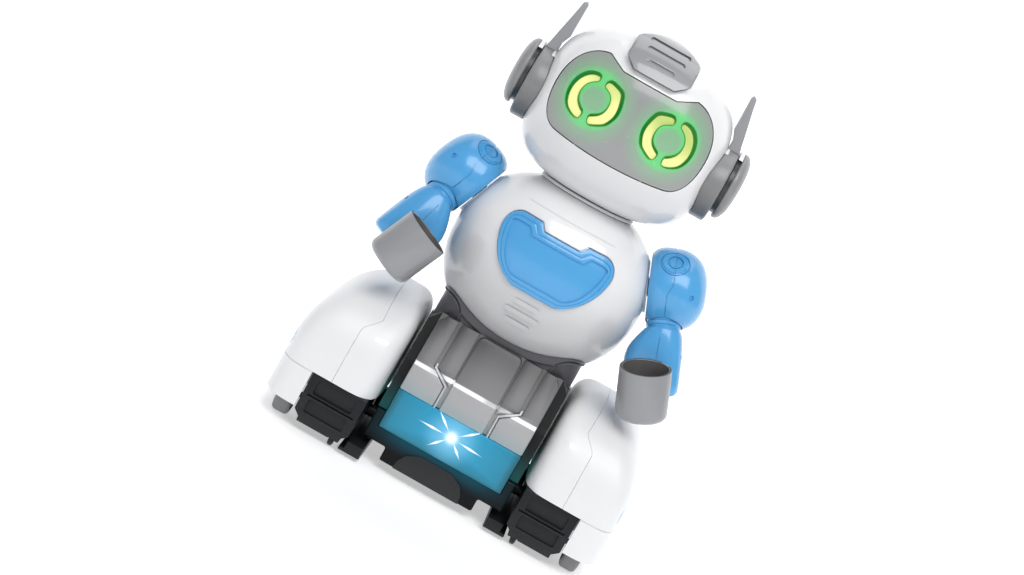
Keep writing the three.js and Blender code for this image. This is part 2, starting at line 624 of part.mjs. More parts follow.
function buildLegs() {
  const leftLeg = new THREE.Group();
  const rightLeg = new THREE.Group();
  leftLeg.position.y = SHAFT.throwOff;
  rightLeg.position.y = -SHAFT.throwOff;
  robot.add(leftLeg, rightLeg);
  const pair = (name, body, material) => placePair(name, body, material, leftLeg, rightLeg);

  const capBar = (grow, from, to) => sidePrism(capOutline(grow), from, to);
  const capHole = capBar(GAP, CAP.floor, 90);
  const shell = cut(
    legSolid(0),
    legSolid(WALL),
    box(10, LEG.skirtInner, -FAR, FAR, -10, LEG.hem),
  );
  const seat = legSolid(0).intersect(capBar(2.2, CAP.floor - WALL, CAP.floor));
  const fenderOuter = cut(shell, frontPrism(seamSide(GAP / 2), -FAR, FAR), capHole);
  const axleLug = (y, x0, x1) => cut(
    box(x0, x1, y - 3, y + 3, LEG.skirt + 0.1, 22.4),
    bar("x", 1.6, x0 - 1, x1 + 1, y, ROLLER.radius, 12),
  );
  const bridge = (y) => box(59.1, LEG.outer - 1, y - 3, y + 3, 20.6, 22.4);
  const lugs = [-ROLLER.y, ROLLER.y].flatMap((y) => [axleLug(y, 59.1, 60.2), axleLug(y, 67.8, 69), bridge(y)]);
  pair("fender_outer", join(fenderOuter, seat, ...lugs), white);
  pair("fender_inner", shell.intersect(frontPrism(seamSide(-GAP / 2), -FAR, FAR)), white);
  const cap = capBar(0, CAP.floor + GAP, 90).intersect(legSolid(0));
  pair("leg_cap", cap, blue);

  const { inner, outer, top, bottom, deep } = SHOE;
  const profile = [[-deep + 1, top], [-deep, 15], [-deep + 1, 8], [-deep + 3.4, bottom]];
  const block = sidePrism([...profile, ...profile.map(([y, z]) => [-y, z]).reverse()].reverse(), inner, outer);
  const pinHole = (y) => bar("x", SHAFT.pin + GAP, inner - 1, SHAFT.tip + 1, y, SHAFT.z, 16);
  const nubSlot = box(NUB.x - NUB.half - GAP, NUB.x + NUB.half + GAP, -NUB.y - 5.2, -NUB.y + 5.2, -2, 9.6);
  const nubAxle = bar("x", 1.3, NUB.x - 3.2, NUB.x + 3.2, -NUB.y, NUB.radius, 12);
  const pocket = box(45, 55.5, -38, 38, 9.6, 40);
  const lip = frontPrism(polygon([[inner, 30], [inner, 8.2], [inner + 2.6, 5.6], [inner + 2.6, 0], [outer - 2.6, 0],
    [outer - 2.6, 5.6], [outer, 8.2], [outer, 30]]), -60, 60);
  pair("tread_shoe", cut(block.intersect(lip), pinHole(-SHAFT.y), pinHole(SHAFT.y), nubSlot, nubAxle, pocket), black);

  const runner = (height, x1) => sidePrism(
    [[-40.5, 1.8], [-34, 0], [34, 0], [40.5, 1.8], [40.5, height], [-40.5, height]], SOLE.inner, x1);
  pair("sole_block", join(runner(SOLE.top, SOLE.outer), runner(SOLE.lipTop, SOLE.lip)), black);

  const nub = join(
    bar("x", NUB.radius, NUB.x - NUB.half, NUB.x + NUB.half, -NUB.y, NUB.radius, 16),
    bar("x", 0.95, NUB.x - 2.9, NUB.x + 2.9, -NUB.y, NUB.radius, 8),
  );
  pair("sole_wheel", nub, black);

  for (const [end, y] of [["front", -ROLLER.y], ["rear", ROLLER.y]]) {
    const { x, radius, half } = ROLLER;
    const roller = turned([
      [59.4, 0], [59.4, 1.2], [x - half, 1.2], [x - half, radius - 1.5], [x - half + 1.4, radius],
      [x + half - 1.4, radius], [x + half, radius - 1.5], [x + half, 1.2], [68.8, 1.2], [68.8, 0],
    ], y, radius, 12);
    pair(`${end}_roller`, roller, grey);
  }
}

// ---- arms -------------------------------------------------------------------------------

// Unit vectors of the left arm: outwards along the shoulder axis, and down square to it.
const DOWN = new THREE.Vector3(Math.sin(TILT), 0, -Math.cos(TILT));

// A point of the left arm, given along the shoulder axis, forwards, and down the arm.
function armPoint(out, y, down) {
  const p = SHOULDER_CENTRE.clone().addScaledVector(AXIS, out).addScaledVector(DOWN, down);
  return [p.x, y, p.z];
}

// A ring across the arm at a distance down it, tipped forward by a slope.
function armRing(down, out, halfOut, y, halfY, sharp, slope = 0, sides = 16) {
  return levelRing(-halfOut, halfOut, 0, halfY, 0, sharp, sides)
    .map(([a, b]) => armPoint(out + a, y + b, down - slope * b))
    .reverse();
}

// A group whose pieces are turned about an axis through a pivot.
function turnedGroup(parent, pivot, axis, angle) {
  const turn = new THREE.Group();
  turn.position.set(...pivot);
  turn.quaternion.setFromAxisAngle(new THREE.Vector3(...axis), angle);
  const inner = new THREE.Group();
  inner.position.set(...pivot).negate();
  turn.add(inner);
  parent.add(turn);
  return inner;
}

const ELBOW = [-1.2, -6.5, 13.5];  // centre of the elbow ring: along the axis, Y, down the arm
const ELBOW_LEAN = -0.45;          // the elbow ring faces down and forwards
const CUP_OUT = -6;                // cup axis, measured along the shoulder axis
const CUP_RIM = 27.4;              // top of the cup, down the arm
const CUP_LEAN = 0.16;             // the mouth of the cup leans towards the front

function cupSolid(radius, from, to, round) {
  const ring = (down, r) => armRing(down, CUP_OUT, r, CUP.y + (down - CUP_RIM) * CUP_LEAN, r, 2, CUP_LEAN);
  const rings = [ring(from, radius)];
  rings.push(ring(to - round, radius));
  if (round) {
    rings.push(ring(to - round * 0.35, radius - round * 0.3));
    rings.push(ring(to, radius - round));
  }
  return loft(rings);
}

// The shoulder's rounded barrel, turned about the shoulder axis.
function shoulderForm() {
  const { radius, waist, face, tip } = SHOULDER;
  const profile = [[0, -face]];
  for (const out of [-face, -7.2, -4]) {
    profile.push([radius * fullness((waist - out) / 10.2, 3), out]);
  }
  for (let i = 0; i < 6; i += 1) {
    const t = Math.sin((i / 6) * Math.PI * 0.485);
    profile.push([radius * fullness(t, 2.5), waist + (tip - waist) * t]);
  }
  profile.push([0, tip]);
  const geometry = new THREE.LatheGeometry(profile.map(([r, out]) => new THREE.Vector2(r, out)), 20);
  geometry.rotateX(Math.PI / 2);
  return alongShoulder(geometry);
}

// A round bar down the arm from the elbow, cut square to the elbow's lean at its top.
function elbowRing(from, radius, to) {
  return loft([
    armRing(from, ELBOW[0], radius, ELBOW[1], radius, 2, ELBOW_LEAN),
    armRing(to, ELBOW[0], radius, ELBOW[1], radius, 2),
  ]);
}

// Everything outside the shoulder's seam, which steps inwards half-way down.
function beyondSeam(shift) {
  const outline = [[0.9, -40], [0.9, -4.5], [-1.3, 0.3], [-1.3, 40], [40, 40], [40, -40]];
  return loft([40, -40].map((y) => outline.map(([out, down]) => armPoint(out + shift, y, down))));
}

function buildArms() {
  const leftArm = new THREE.Group();
  robot.add(leftArm);
  const rightArm = turnedGroup(robot, [-SHOULDER.x, 0, SHOULDER.z], [-AXIS.x, 0, AXIS.z], RIGHT_SWING);
  const [elbowX, elbowY, elbowZ] = armPoint(...ELBOW);
  const rightForearm = turnedGroup(rightArm, [-elbowX, elbowY, elbowZ], [-DOWN.x, 0, DOWN.z], RIGHT_TWIST);

  const form = cut(shoulderForm(), elbowRing(10, 7.5, 30));
  const peg = shoulderBar(3.8, -SHOULDER.face - 8, -SHOULDER.face + 1);
  placePair("shoulder_inner", join(cut(form, beyondSeam(-GAP / 2)), peg), blue, leftArm, rightArm);
  placePair("shoulder_outer", form.intersect(beyondSeam(GAP / 2)), blue, leftArm, rightArm);

  const forearm = loft([
    armRing(11.2, ELBOW[0], 6.9, ELBOW[1], 6.9, 2, ELBOW_LEAN),
    armRing(15.2, -1.2, 6.9, -6.5, 6.9, 2, ELBOW_LEAN),
    armRing(16.8, -1.5, 7.8, -6.6, 7.5, 2.1, -0.4),
    armRing(20.8, -2.9, 10, -6.9, 9, 2.3, -0.2),
    armRing(25.5, -3.8, 11.4, -7.1, 9.5, 2.45),
    armRing(39, -3.6, 11, -7.2, 8, 2.6),
    armRing(41, -3.6, 9.6, -7, 6.8, 2.5),
  ]);
  placePair("forearm", cut(forearm, cupSolid(CUP.radius + GAP, 10, 60, 0)), blue, leftArm, rightForearm);

  const cup = cut(
    cupSolid(CUP.radius, CUP_RIM, CUP_RIM + CUP.length, 1.8),
    cupSolid(CUP.radius - CUP.wall, CUP_RIM - 2, CUP_RIM + CUP.length - 1.6, 0),
  );
  placePair("hand_cup", cup, grey, leftArm, rightForearm);
}

buildHead();
buildEars();
buildTorso();
buildWaist();
buildLowerBody();
buildBaseTub();
buildDrive();
buildLegs();
buildArms();

export default robot;
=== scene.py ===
import json
import math

import bmesh
import bpy
from mathutils import Matrix, Vector
from mathutils.geometry import tessellate_polygon


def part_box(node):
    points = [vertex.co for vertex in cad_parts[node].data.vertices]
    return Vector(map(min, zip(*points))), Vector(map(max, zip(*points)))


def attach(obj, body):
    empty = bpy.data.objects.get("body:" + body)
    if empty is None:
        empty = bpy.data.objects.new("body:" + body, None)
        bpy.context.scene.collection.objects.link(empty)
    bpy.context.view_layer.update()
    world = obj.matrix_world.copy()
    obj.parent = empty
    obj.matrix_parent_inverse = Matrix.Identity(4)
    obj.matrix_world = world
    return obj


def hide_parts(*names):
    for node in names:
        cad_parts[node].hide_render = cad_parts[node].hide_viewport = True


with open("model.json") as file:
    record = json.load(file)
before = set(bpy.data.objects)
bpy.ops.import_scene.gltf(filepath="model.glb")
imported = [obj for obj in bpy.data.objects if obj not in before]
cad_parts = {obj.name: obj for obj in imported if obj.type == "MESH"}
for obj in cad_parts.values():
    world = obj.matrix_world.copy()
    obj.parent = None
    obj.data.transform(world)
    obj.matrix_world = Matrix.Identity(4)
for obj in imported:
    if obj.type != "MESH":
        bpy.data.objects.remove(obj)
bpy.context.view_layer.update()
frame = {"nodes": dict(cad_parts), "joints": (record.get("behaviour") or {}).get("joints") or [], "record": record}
JOINTS = {joint["name"]: joint for joint in frame["joints"]}

# ---- driving dimensions: forms are drawn in millimetres --------------------------------

MM = 0.001      # one millimetre in metres
FAR = 120       # beyond the whole model on any side
SKY = 220       # above the whole model


def corner_mm(node):
    low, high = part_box(node)
    return low / MM, high / MM


def centre_mm(node):
    low, high = corner_mm(node)
    return (low + high) / 2


GAP = 0.35      # clearance between neighbouring mouldings
WALL = 1.8      # thickness of the outer casings

# The head and the torso are eggs: superellipse profiles above and below a widest level.
HEAD = {"mid": 162, "up": 34, "down": 32.5, "wide": 39.1, "deep": 33,
        "sharp_up": 2.8, "sharp_down": 3.5, "plan": 2.3}
TORSO = {"mid": 96, "up": 35, "down": 37, "wide": 41.3, "deep": 33,
         "sharp_up": 2.4, "sharp_down": 2.2, "plan": 2.25}
HEAD_FLOOR = corner_mm("head_front_shell")[0].z
TORSO_TOP = corner_mm("torso_front_shell")[1].z
CASE_SPLIT = 2  # Y of the joint between front and rear casings
NECK_RADIUS = 12

EYE_X = 16.25
EYE_Z = centre_mm("left_eye_inner_arc").z
EAR_Z = centre_mm("left_ear_base").z
EAR_RADIUS = 15.3
DOME_Z = centre_mm("left_ear_dome").z

SHOULDER = Vector(JOINTS["left_shoulder_swing"]["pos_m"]) / MM
ALONG = -Vector(JOINTS["left_shoulder_swing"]["axis"]).normalized()
DOWN = Vector(JOINTS["left_forearm_twist"]["axis"]).normalized()
ELBOW = Vector(JOINTS["left_forearm_twist"]["pos_m"]) / MM
RIGHT_SWING = math.radians(13)      # the right arm rests further forward
RIGHT_TWIST = math.radians(-8)      # and its forearm is turned in a little
BARREL = {"radius": 16.6, "waist": -1, "face": 8.8, "tip": 14.15}
ELBOW_AT = (-1.2, -6.5)             # out along the shoulder axis, and Y
ELBOW_LEAN = -0.45
CUP = {"out": -6, "y": -27, "rim": 27.4, "radius": 10.3, "wall": 1.2, "length": 20.4, "lean": 0.16}

BODY_HALF = corner_mm("lower_front_panel")[1].x
BODY_TOP = corner_mm("lower_front_panel")[1].z
BODY_BOTTOM = corner_mm("lower_front_panel")[0].z
BEND_Z = 44.5                       # the front leans back above this level
SIDE_RAIL = 32.1
BAR_LOW, BAR_HIGH = corner_mm("light_bar")
WAIST_LOW, WAIST_HIGH = corner_mm("waist_collar")

LEG = {"inner": 32.5, "outer": 73.6, "ridge": 44, "deep": 43.8, "top": 64.2, "skirt": 9.2, "hem": 24.3,
       "skirt_inner": 58.7, "sharp": 5.5}
LEG_SHIFT = centre_mm("left_tread_shoe").y
SHOE_LOW, SHOE_HIGH = corner_mm("left_tread_shoe")


# ---- camera -----------------------------------------------------------------------------

def add_camera():
    elevation = math.radians(9)
    roll = math.radians(29.5)
    target = Vector((0, 0, 0.0988))
    back = Vector((0, -math.cos(elevation), math.sin(elevation)))
    camera = bpy.data.objects.new("camera", bpy.data.cameras.new("camera"))
    camera.data.lens = 72.66
    camera.data.sensor_width = 36
    camera.data.shift_x = -0.0376
    camera.data.shift_y = -0.0239
    level = back.to_track_quat("Z", "Y").to_matrix().to_4x4()
    camera.matrix_world = Matrix.Translation(target + back * 0.8232) @ level @ Matrix.Rotation(roll, 4, "Z")
    bpy.context.scene.collection.objects.link(camera)
    bpy.context.scene.camera = camera


# ---- forms ------------------------------------------------------------------------------

def form(points, faces):
    mesh = bpy.data.meshes.new("form")
    mesh.from_pydata([Vector(p) * MM for p in points], [], faces)
    mesh.update()
    obj = bpy.data.objects.new("form", mesh)
    bpy.context.scene.collection.objects.link(obj)
    return obj


def loft(rings):
    """A closed skin over a stack of rings of equal length; the winding is put right at the end."""
    sides = len(rings[0])
    faces = []
    for r in range(len(rings) - 1):
        for s in range(sides):
            a = r * sides + s
            b = r * sides + (s + 1) % sides
            faces.append((a, b, b + sides, a + sides))
    last = (len(rings) - 1) * sides
    faces.append(tuple(reversed(range(sides))))
    faces.append(tuple(range(last, last + sides)))
    return outward(form([p for ring in rings for p in ring], faces))


def outward(obj):
    work = bmesh.new()
    work.from_mesh(obj.data)
    bmesh.ops.recalc_face_normals(work, faces=work.faces)
    work.to_mesh(obj.data)
    work.free()
    return obj


def level_ring(x0, x1, y, deep, z, sharp, sides=96):
    ring = []
    for s in range(sides):
        angle = s / sides * math.tau
        c, k = math.cos(angle), math.sin(angle)
        x = math.copysign(abs(c) ** (2 / sharp), c)
        d = math.copysign(abs(k) ** (2 / sharp), k)
        ring.append(((x0 + x1) / 2 + x * (x1 - x0) / 2, y + d * deep, z))
    return ring


def fullness(t, sharp):
    return max(0.0, 1 - abs(t) ** sharp) ** (1 / sharp)


def egg(shape, grow, lift=None):
    """An egg-shaped form, grown all round, with its own growth at the top if wanted."""
    steps = 34
    rings = []
    for i in range(-steps, steps + 1):
        t = math.sin(i / steps * math.pi * 0.485)
        half = "down" if i < 0 else "up"
        reach = shape[half] + (grow if lift is None or i < 0 else lift)
        full = fullness(t, shape["sharp_" + half])
        wide = (shape["wide"] + grow) * full
        deep = (shape["deep"] + grow) * full
        rings.append(level_ring(-wide, wide, 0, deep, shape["mid"] + t * reach, shape["plan"], 128))
    return loft(rings)


def egg_front(shape, x, z):
    """Y of the front of an egg form, over a point of its front view."""
    half = "down" if z < shape["mid"] else "up"
    full = fullness((z - shape["mid"]) / shape[half], shape["sharp_" + half])
    return -shape["deep"] * full * fullness(min(1.0, abs(x) / (shape["wide"] * full)), shape["plan"])


def circle(radius, sides):
    angles = [s / sides * math.tau for s in range(sides)]
    return [(radius * math.cos(angle), radius * math.sin(angle)) for angle in angles]


def quarter(steps):
    """Sine and cosine at even steps round a quarter turn, both ends included."""
    angles = [i / steps * math.pi / 2 for i in range(steps + 1)]
    return [(math.sin(angle), math.cos(angle)) for angle in angles]


def bar(axis, radius, start, end, u, v, sides=64):
    place = {
        "x": lambda a, p, q: (a, u + p, v + q),
        "y": lambda a, p, q: (u + p, a, v + q),
        "z": lambda a, p, q: (u + p, v + q, a),
    }[axis]
    return loft([[place(a, p, q) for p, q in circle(radius, sides)] for a in (start, end)])


def turned(profile, y, z, sides):
    """A turned piece about the X axis through (y, z). Profile points are (x, radius)."""
    return loft([[(x, y + p, z + q) for p, q in circle(max(r, 0.02), sides)] for x, r in profile])


def front_prism(points, y0, y1):
    return loft([[(x, y, z) for x, z in points] for y in (y0, y1)])


def side_prism(points, x0, x1):
    return loft([[(x, y, z) for y, z in points] for x in (x0, x1)])


def block(x0, x1, y0, y1, z0, z1):
    return front_prism([(x0, z0), (x1, z0), (x1, z1), (x0, z1)], y0, y1)


def layer(low, high):
    """All of the space between two levels."""
    return block(-FAR, FAR, -FAR, FAR, low, high)


def with_mirror(right):
    """Closes an outline by its own mirror image across the middle plane."""
    return right + [(-a, b) for a, b in reversed(right)]


def bezier(p0, p1, p2, p3, steps=12):
    points = []
    for i in range(steps):
        t = i / steps
        points.append(tuple(
            (1 - t) ** 3 * a + 3 * (1 - t) ** 2 * t * b + 3 * (1 - t) * t * t * c + t ** 3 * d
            for a, b, c, d in zip(p0, p1, p2, p3)
        ))
    return points


def rounded(points):
    """Cuts the corners of a closed outline a quarter of the way along, twice, which rounds them."""
    for _ in range(2):
        points = [(a[0] + (b[0] - a[0]) * share, a[1] + (b[1] - a[1]) * share)
                  for a, b in zip(points, points[1:] + points[:1]) for share in (0.25, 0.75)]
    return points


def rounded_box(x0, x1, z0, z1, radius):
    corners = ((x1 - radius, z1 - radius, 0), (x0 + radius, z1 - radius, 90),
               (x0 + radius, z0 + radius, 180), (x1 - radius, z0 + radius, 270))
    points = []
    for x, z, start in corners:
        for angle in (math.radians(start + 15 * i) for i in range(7)):
            points.append((x + radius * math.cos(angle), z + radius * math.sin(angle)))
    return points


def inset(points, amount):
    """Moves each point of an outline inwards, square to its neighbours."""
    area = sum(a[0] * b[1] - b[0] * a[1] for a, b in zip(points, points[1:] + points[:1]))
    side = math.copysign(1, area)
    moved = []
    for before, point, after in zip(points[-1:] + points[:-1], points, points[1:] + points[:1]):
        along = Vector((after[0] - before[0], after[1] - before[1])).normalized()
        moved.append((point[0] - along.y * side * amount, point[1] + along.x * side * amount))
    return moved


# ---- cutting and joining ------------------------------------------------------------------

def combine(obj, operation, tools):
    for tool in tools:
        modifier = obj.modifiers.new("combine", "BOOLEAN")
        modifier.operation = operation
        modifier.solver = "MANIFOLD"
        modifier.object = tool
    return settled(obj, tools)


def settled(obj, leftovers=()):
    """Turns an object's modifiers into its mesh, and removes the objects that they used."""
    shape = obj.evaluated_get(bpy.context.evaluated_depsgraph_get())
    mesh = bpy.data.meshes.new_from_object(shape)
    obj.modifiers.clear()
    obj.data = mesh
    for tool in leftovers:
        bpy.data.objects.remove(tool)
    return obj


def join(obj, *tools):
    return combine(obj, "UNION", tools)


def cut(obj, *tools):
    return combine(obj, "DIFFERENCE", tools)


def common(obj, *tools):
    return combine(obj, "INTERSECT", tools)


def soften(obj, width, segments=2, angle=35):
    """Rounds the edges of a form."""
    modifier = obj.modifiers.new("soften", "BEVEL")
    modifier.width = width * MM
    modifier.segments = segments
    modifier.limit_method = "ANGLE"
    modifier.angle_limit = math.radians(angle)
    modifier.miter_outer = "MITER_ARC"
    return settled(obj)


def mirrored(obj):
    obj.data.transform(Matrix.Scale(-1, 4, (1, 0, 0)))
    obj.data.flip_normals()
    return obj


def copied(obj):
    twin = obj.copy()
    twin.data = obj.data.copy()
    bpy.context.scene.collection.objects.link(twin)
    return twin


def both(obj):
    """A form and its mirror twin on the other side."""
    return [mirrored(copied(obj)), obj]


# ---- the egg-shaped casings of the head and the torso ---------------------------------------

def egg_skin(shape, outside=0, inside=-WALL):
    return cut(egg(shape, outside), egg(shape, inside))


def through_front(outline):
    """An outline pushed through the front of the head, the torso or the lower body."""
    return front_prism(outline, -60, -8)


def neck_bore():
    return bar("z", NECK_RADIUS + GAP, 110, 140, 0, 0)


def front_half():
    return block(-FAR, FAR, -FAR, CASE_SPLIT - GAP / 2, 0, SKY)


def rear_half():
    return block(-FAR, FAR, CASE_SPLIT + GAP / 2, FAR, 0, SKY)


# ---- materials --------------------------------------------------------------------------

SOCKETS = {"color": "Base Color", "rough": "Roughness", "metallic": "Metallic", "coat": "Coat Weight",
           "coat_rough": "Coat Roughness", "specular": "Specular IOR Level", "glow": "Emission Color",
           "glow_strength": "Emission Strength"}


class Nodes:
    """A material's node tree, with short names for the nodes that it uses."""

    def __init__(self, name):
        self.material = bpy.data.materials.new(name)
        self.material.use_nodes = True
        self.tree = self.material.node_tree
        self.shader = self.tree.nodes["Principled BSDF"]
        self.place = self.tree.nodes.new("ShaderNodeTexCoord").outputs["Object"]

    def put(self, value, socket):
        """Links an output to a socket, or sets a plain number or colour on it."""
        if isinstance(value, bpy.types.NodeSocket):
            self.tree.links.new(value, socket)
        else:
            socket.default_value = (*value, 1.0) if isinstance(value, tuple) else value

    def math(self, operation, *values):
        node = self.tree.nodes.new("ShaderNodeMath")
        node.operation = operation
        for socket, value in zip(node.inputs, values):
            self.put(value, socket)
        return node.outputs[0]

    def product(self, a, b):
        return self.math("MULTIPLY", a, b)

    def apart(self, a, b):
        return self.math("ABSOLUTE", self.math("SUBTRACT", a, b))

    def hypotenuse(self, a, b):
        return self.math("SQRT", self.math("ADD", self.product(a, a), self.product(b, b)))

    def noise(self, scale, detail, stretch=(1, 1, 1)):
        mapping = self.tree.nodes.new("ShaderNodeMapping")
        mapping.inputs["Scale"].default_value = stretch
        self.put(self.place, mapping.inputs["Vector"])
        node = self.tree.nodes.new("ShaderNodeTexNoise")
        node.inputs["Scale"].default_value = scale
        node.inputs["Detail"].default_value = detail
        self.put(mapping.outputs["Vector"], node.inputs["Vector"])
        return node.outputs["Fac"]

    def ranged(self, value, low, high, to_low, to_high, kind="LINEAR"):
        node = self.tree.nodes.new("ShaderNodeMapRange")
        node.interpolation_type = kind
        self.put(value, node.inputs["Value"])
        for key, number in (("From Min", low), ("From Max", high), ("To Min", to_low), ("To Max", to_high)):
            node.inputs[key].default_value = number
        return node.outputs["Result"]

    def eased(self, value, low, high, to_low, to_high):
        return self.ranged(value, low, high, to_low, to_high, "SMOOTHSTEP")

    def varied(self, low, high, scale=60, detail=3):
        """A value that wanders between two limits over the surface."""
        return self.ranged(self.noise(scale, detail), 0.3, 0.7, low, high)

    def blend(self, share, first, second):
        node = self.tree.nodes.new("ShaderNodeMix")
        node.data_type = "RGBA"
        values = {"Factor": share, "A": first, "B": second}
        for socket in node.inputs:
            if socket.enabled and socket.name in values:
                self.put(values[socket.name], socket)
        return next(socket for socket in node.outputs if socket.enabled)

    def bump(self, height, strength=0.02, distance=0.00003):
        node = self.tree.nodes.new("ShaderNodeBump")
        node.inputs["Strength"].default_value = strength
        node.inputs["Distance"].default_value = distance
        self.put(height, node.inputs["Height"])
        self.put(node.outputs["Normal"], self.shader.inputs["Normal"])

    def fine_skin(self, strength=0.02, distance=0.00003):
        """The very fine grain that a mould leaves."""
        self.bump(self.noise(1400, 2), strength, distance)

    def flow_marks(self, color, tone):
        """A colour that varies faintly along the way that the plastic flowed."""
        darker = tuple(c * (1 - tone) for c in color)
        lighter = tuple(min(1.0, c * (1 + tone)) for c in color)
        return self.blend(self.noise(14, 2, (1, 1, 0.45)), darker, lighter)

    def finished(self, **settings):
        """The material, with each named setting on its own socket of the shader."""
        for name, value in settings.items():
            self.put(value, self.shader.inputs[SOCKETS[name]])
        return self.material

    def coordinates(self):
        """X, Y and Z of a point of the model at rest, in millimetres."""
        node = self.tree.nodes.new("ShaderNodeSeparateXYZ")
        self.put(self.place, node.inputs[0])
        return [self.math("DIVIDE", axis, MM) for axis in node.outputs]

    def side_and_level(self):
        """The distance from the middle plane and the height, in millimetres."""
        x, _, z = self.coordinates()
        return self.math("ABSOLUTE", x), z


NO_LIGHT = (0.0, 0.0, 0.0)
CASING = (0.80, 0.803, 0.808)
SATIN = (0.80, 0.803, 0.805)
SILVER = (0.285, 0.29, 0.30)


def moulded(name, color, roughness, coat=0.0, tone=0.025, grain=0.02, specular=0.5, shade=None):
    """Injection moulded plastic: faint flow marks in its colour and gloss, and a very fine skin.

    With shade (low, high, amount) it carries painted shade: the colour darkens from the high level in mm down to
    the low one.
    """
    nodes = Nodes(name)
    tint = nodes.flow_marks(color, tone)
    if shade:
        low, high, amount = shade
        _, level = nodes.side_and_level()
        # Painted shade: the colour is blended towards black below the high level.
        tint = nodes.blend(nodes.eased(level, low, high, amount, 0.0), tint, NO_LIGHT)
    nodes.fine_skin(grain)
    rough = nodes.varied(roughness * 0.96, roughness * 1.04)
    return nodes.finished(color=tint, rough=rough, coat=coat, coat_rough=0.03, specular=specular)


def fender_white():
    """White of the fenders, with one short glossier streak on the front of each."""
    nodes = Nodes("fender_white")
    side, level = nodes.side_and_level()
    _, y, _ = nodes.coordinates()
    color = nodes.flow_marks(SATIN, 0.0125)
    wide = nodes.eased(nodes.apart(side, 41.0), 2.9, 3.2, 1.0, 0.0)
    tall = nodes.eased(nodes.apart(level, 46.7), 0.65, 0.9, 1.0, 0.0)
    front = nodes.math("LESS_THAN", y, 0.0)
    streak = nodes.product(nodes.product(wide, tall), front)
    coat = nodes.math("MULTIPLY_ADD", streak, 0.9, 0.08)
    nodes.fine_skin()
    return nodes.finished(color=color, rough=nodes.varied(0.35, 0.38), coat=coat, coat_rough=0.05)


def metal(name, color, roughness, stretch):
    nodes = Nodes(name)
    streaks = nodes.noise(600, 4, stretch)
    darker = tuple(c * 0.85 for c in color)
    rough = nodes.ranged(streaks, 0.3, 0.7, roughness * 0.7, roughness * 1.4)
    nodes.bump(streaks, 0.1, 0.00005)
    return nodes.finished(color=nodes.blend(streaks, darker, color), rough=rough, metallic=1.0)


def circuit(name):
    """Green solder mask with paler tracks on a grid."""
    nodes = Nodes(name)
    grid = nodes.tree.nodes.new("ShaderNodeTexBrick")
    settings = {"Scale": 260, "Mortar Size": 0.035, "Vector": nodes.place, "Color1": (0.012, 0.14, 0.05),
                "Color2": (0.016, 0.17, 0.06), "Mortar": (0.05, 0.32, 0.12)}
    for key, value in settings.items():
        nodes.put(value, grid.inputs[key])
    nodes.bump(grid.outputs["Fac"], 0.2, 0.00005)
    return nodes.finished(color=grid.outputs["Color"], rough=0.35)


def face_grey():
    """Grey face plastic, lit green around the two eyes."""
    nodes = Nodes("face_grey")
    side, level = nodes.side_and_level()
    away = nodes.hypotenuse(nodes.math("SUBTRACT", side, EYE_X), nodes.math("SUBTRACT", level, EYE_Z))
    ragged = nodes.math("MULTIPLY_ADD", nodes.noise(90, 2), 2.4, away)
    halo = nodes.eased(ragged, 10.5, 20.5, 1.0, 0.06)
    near = nodes.eased(nodes.apart(away, 8.3), 2.2, 4.8, 1.0, 0.45)
    lit = nodes.product(halo, near)
    color = nodes.blend(nodes.product(lit, 0.85), (0.30, 0.295, 0.305), (0.10, 0.52, 0.15))
    nodes.fine_skin(0.03, 0.00006)
    return nodes.finished(color=color, rough=nodes.varied(0.2, 0.28, 210, 5), coat=0.25,
                          glow=(0.10, 0.80, 0.18), glow_strength=nodes.product(lit, 0.20))


def ear_grey():
    """Grey of the ears, with painted shade: darker in the groove behind the dome and towards the bottom."""
    nodes = Nodes("ear_grey")
    side, level = nodes.side_and_level()
    # Painted shade towards the bottom, weaker on the dome than on the base.
    lower = nodes.eased(level, EAR_Z - 16, EAR_Z + 12, 0.75, 0.0)
    base = nodes.ranged(side, 43.8, 43.9, 1.0, 0.6)
    grey = nodes.blend(nodes.product(lower, base), (0.255, 0.257, 0.262), (0.085, 0.085, 0.088))
    # Painted shade in the groove between the base and the dome.
    groove = nodes.ranged(nodes.apart(side, 44.75), 0.85, 0.95, 0.9, 0.0)
    grey = nodes.blend(groove, grey, (0.03, 0.03, 0.031))
    nodes.fine_skin()
    return nodes.finished(color=grey, rough=nodes.varied(0.28, 0.33))


EYE_COLORS = [(0.0, (0.06, 0.60, 0.12)), (0.2, (0.0, 0.36, 0.05)), (0.5, (0.0, 0.22, 0.03)),
              (0.62, (0.18, 0.46, 0.03)), (0.78, (0.80, 0.86, 0.24)), (1.0, (0.92, 0.94, 0.38))]


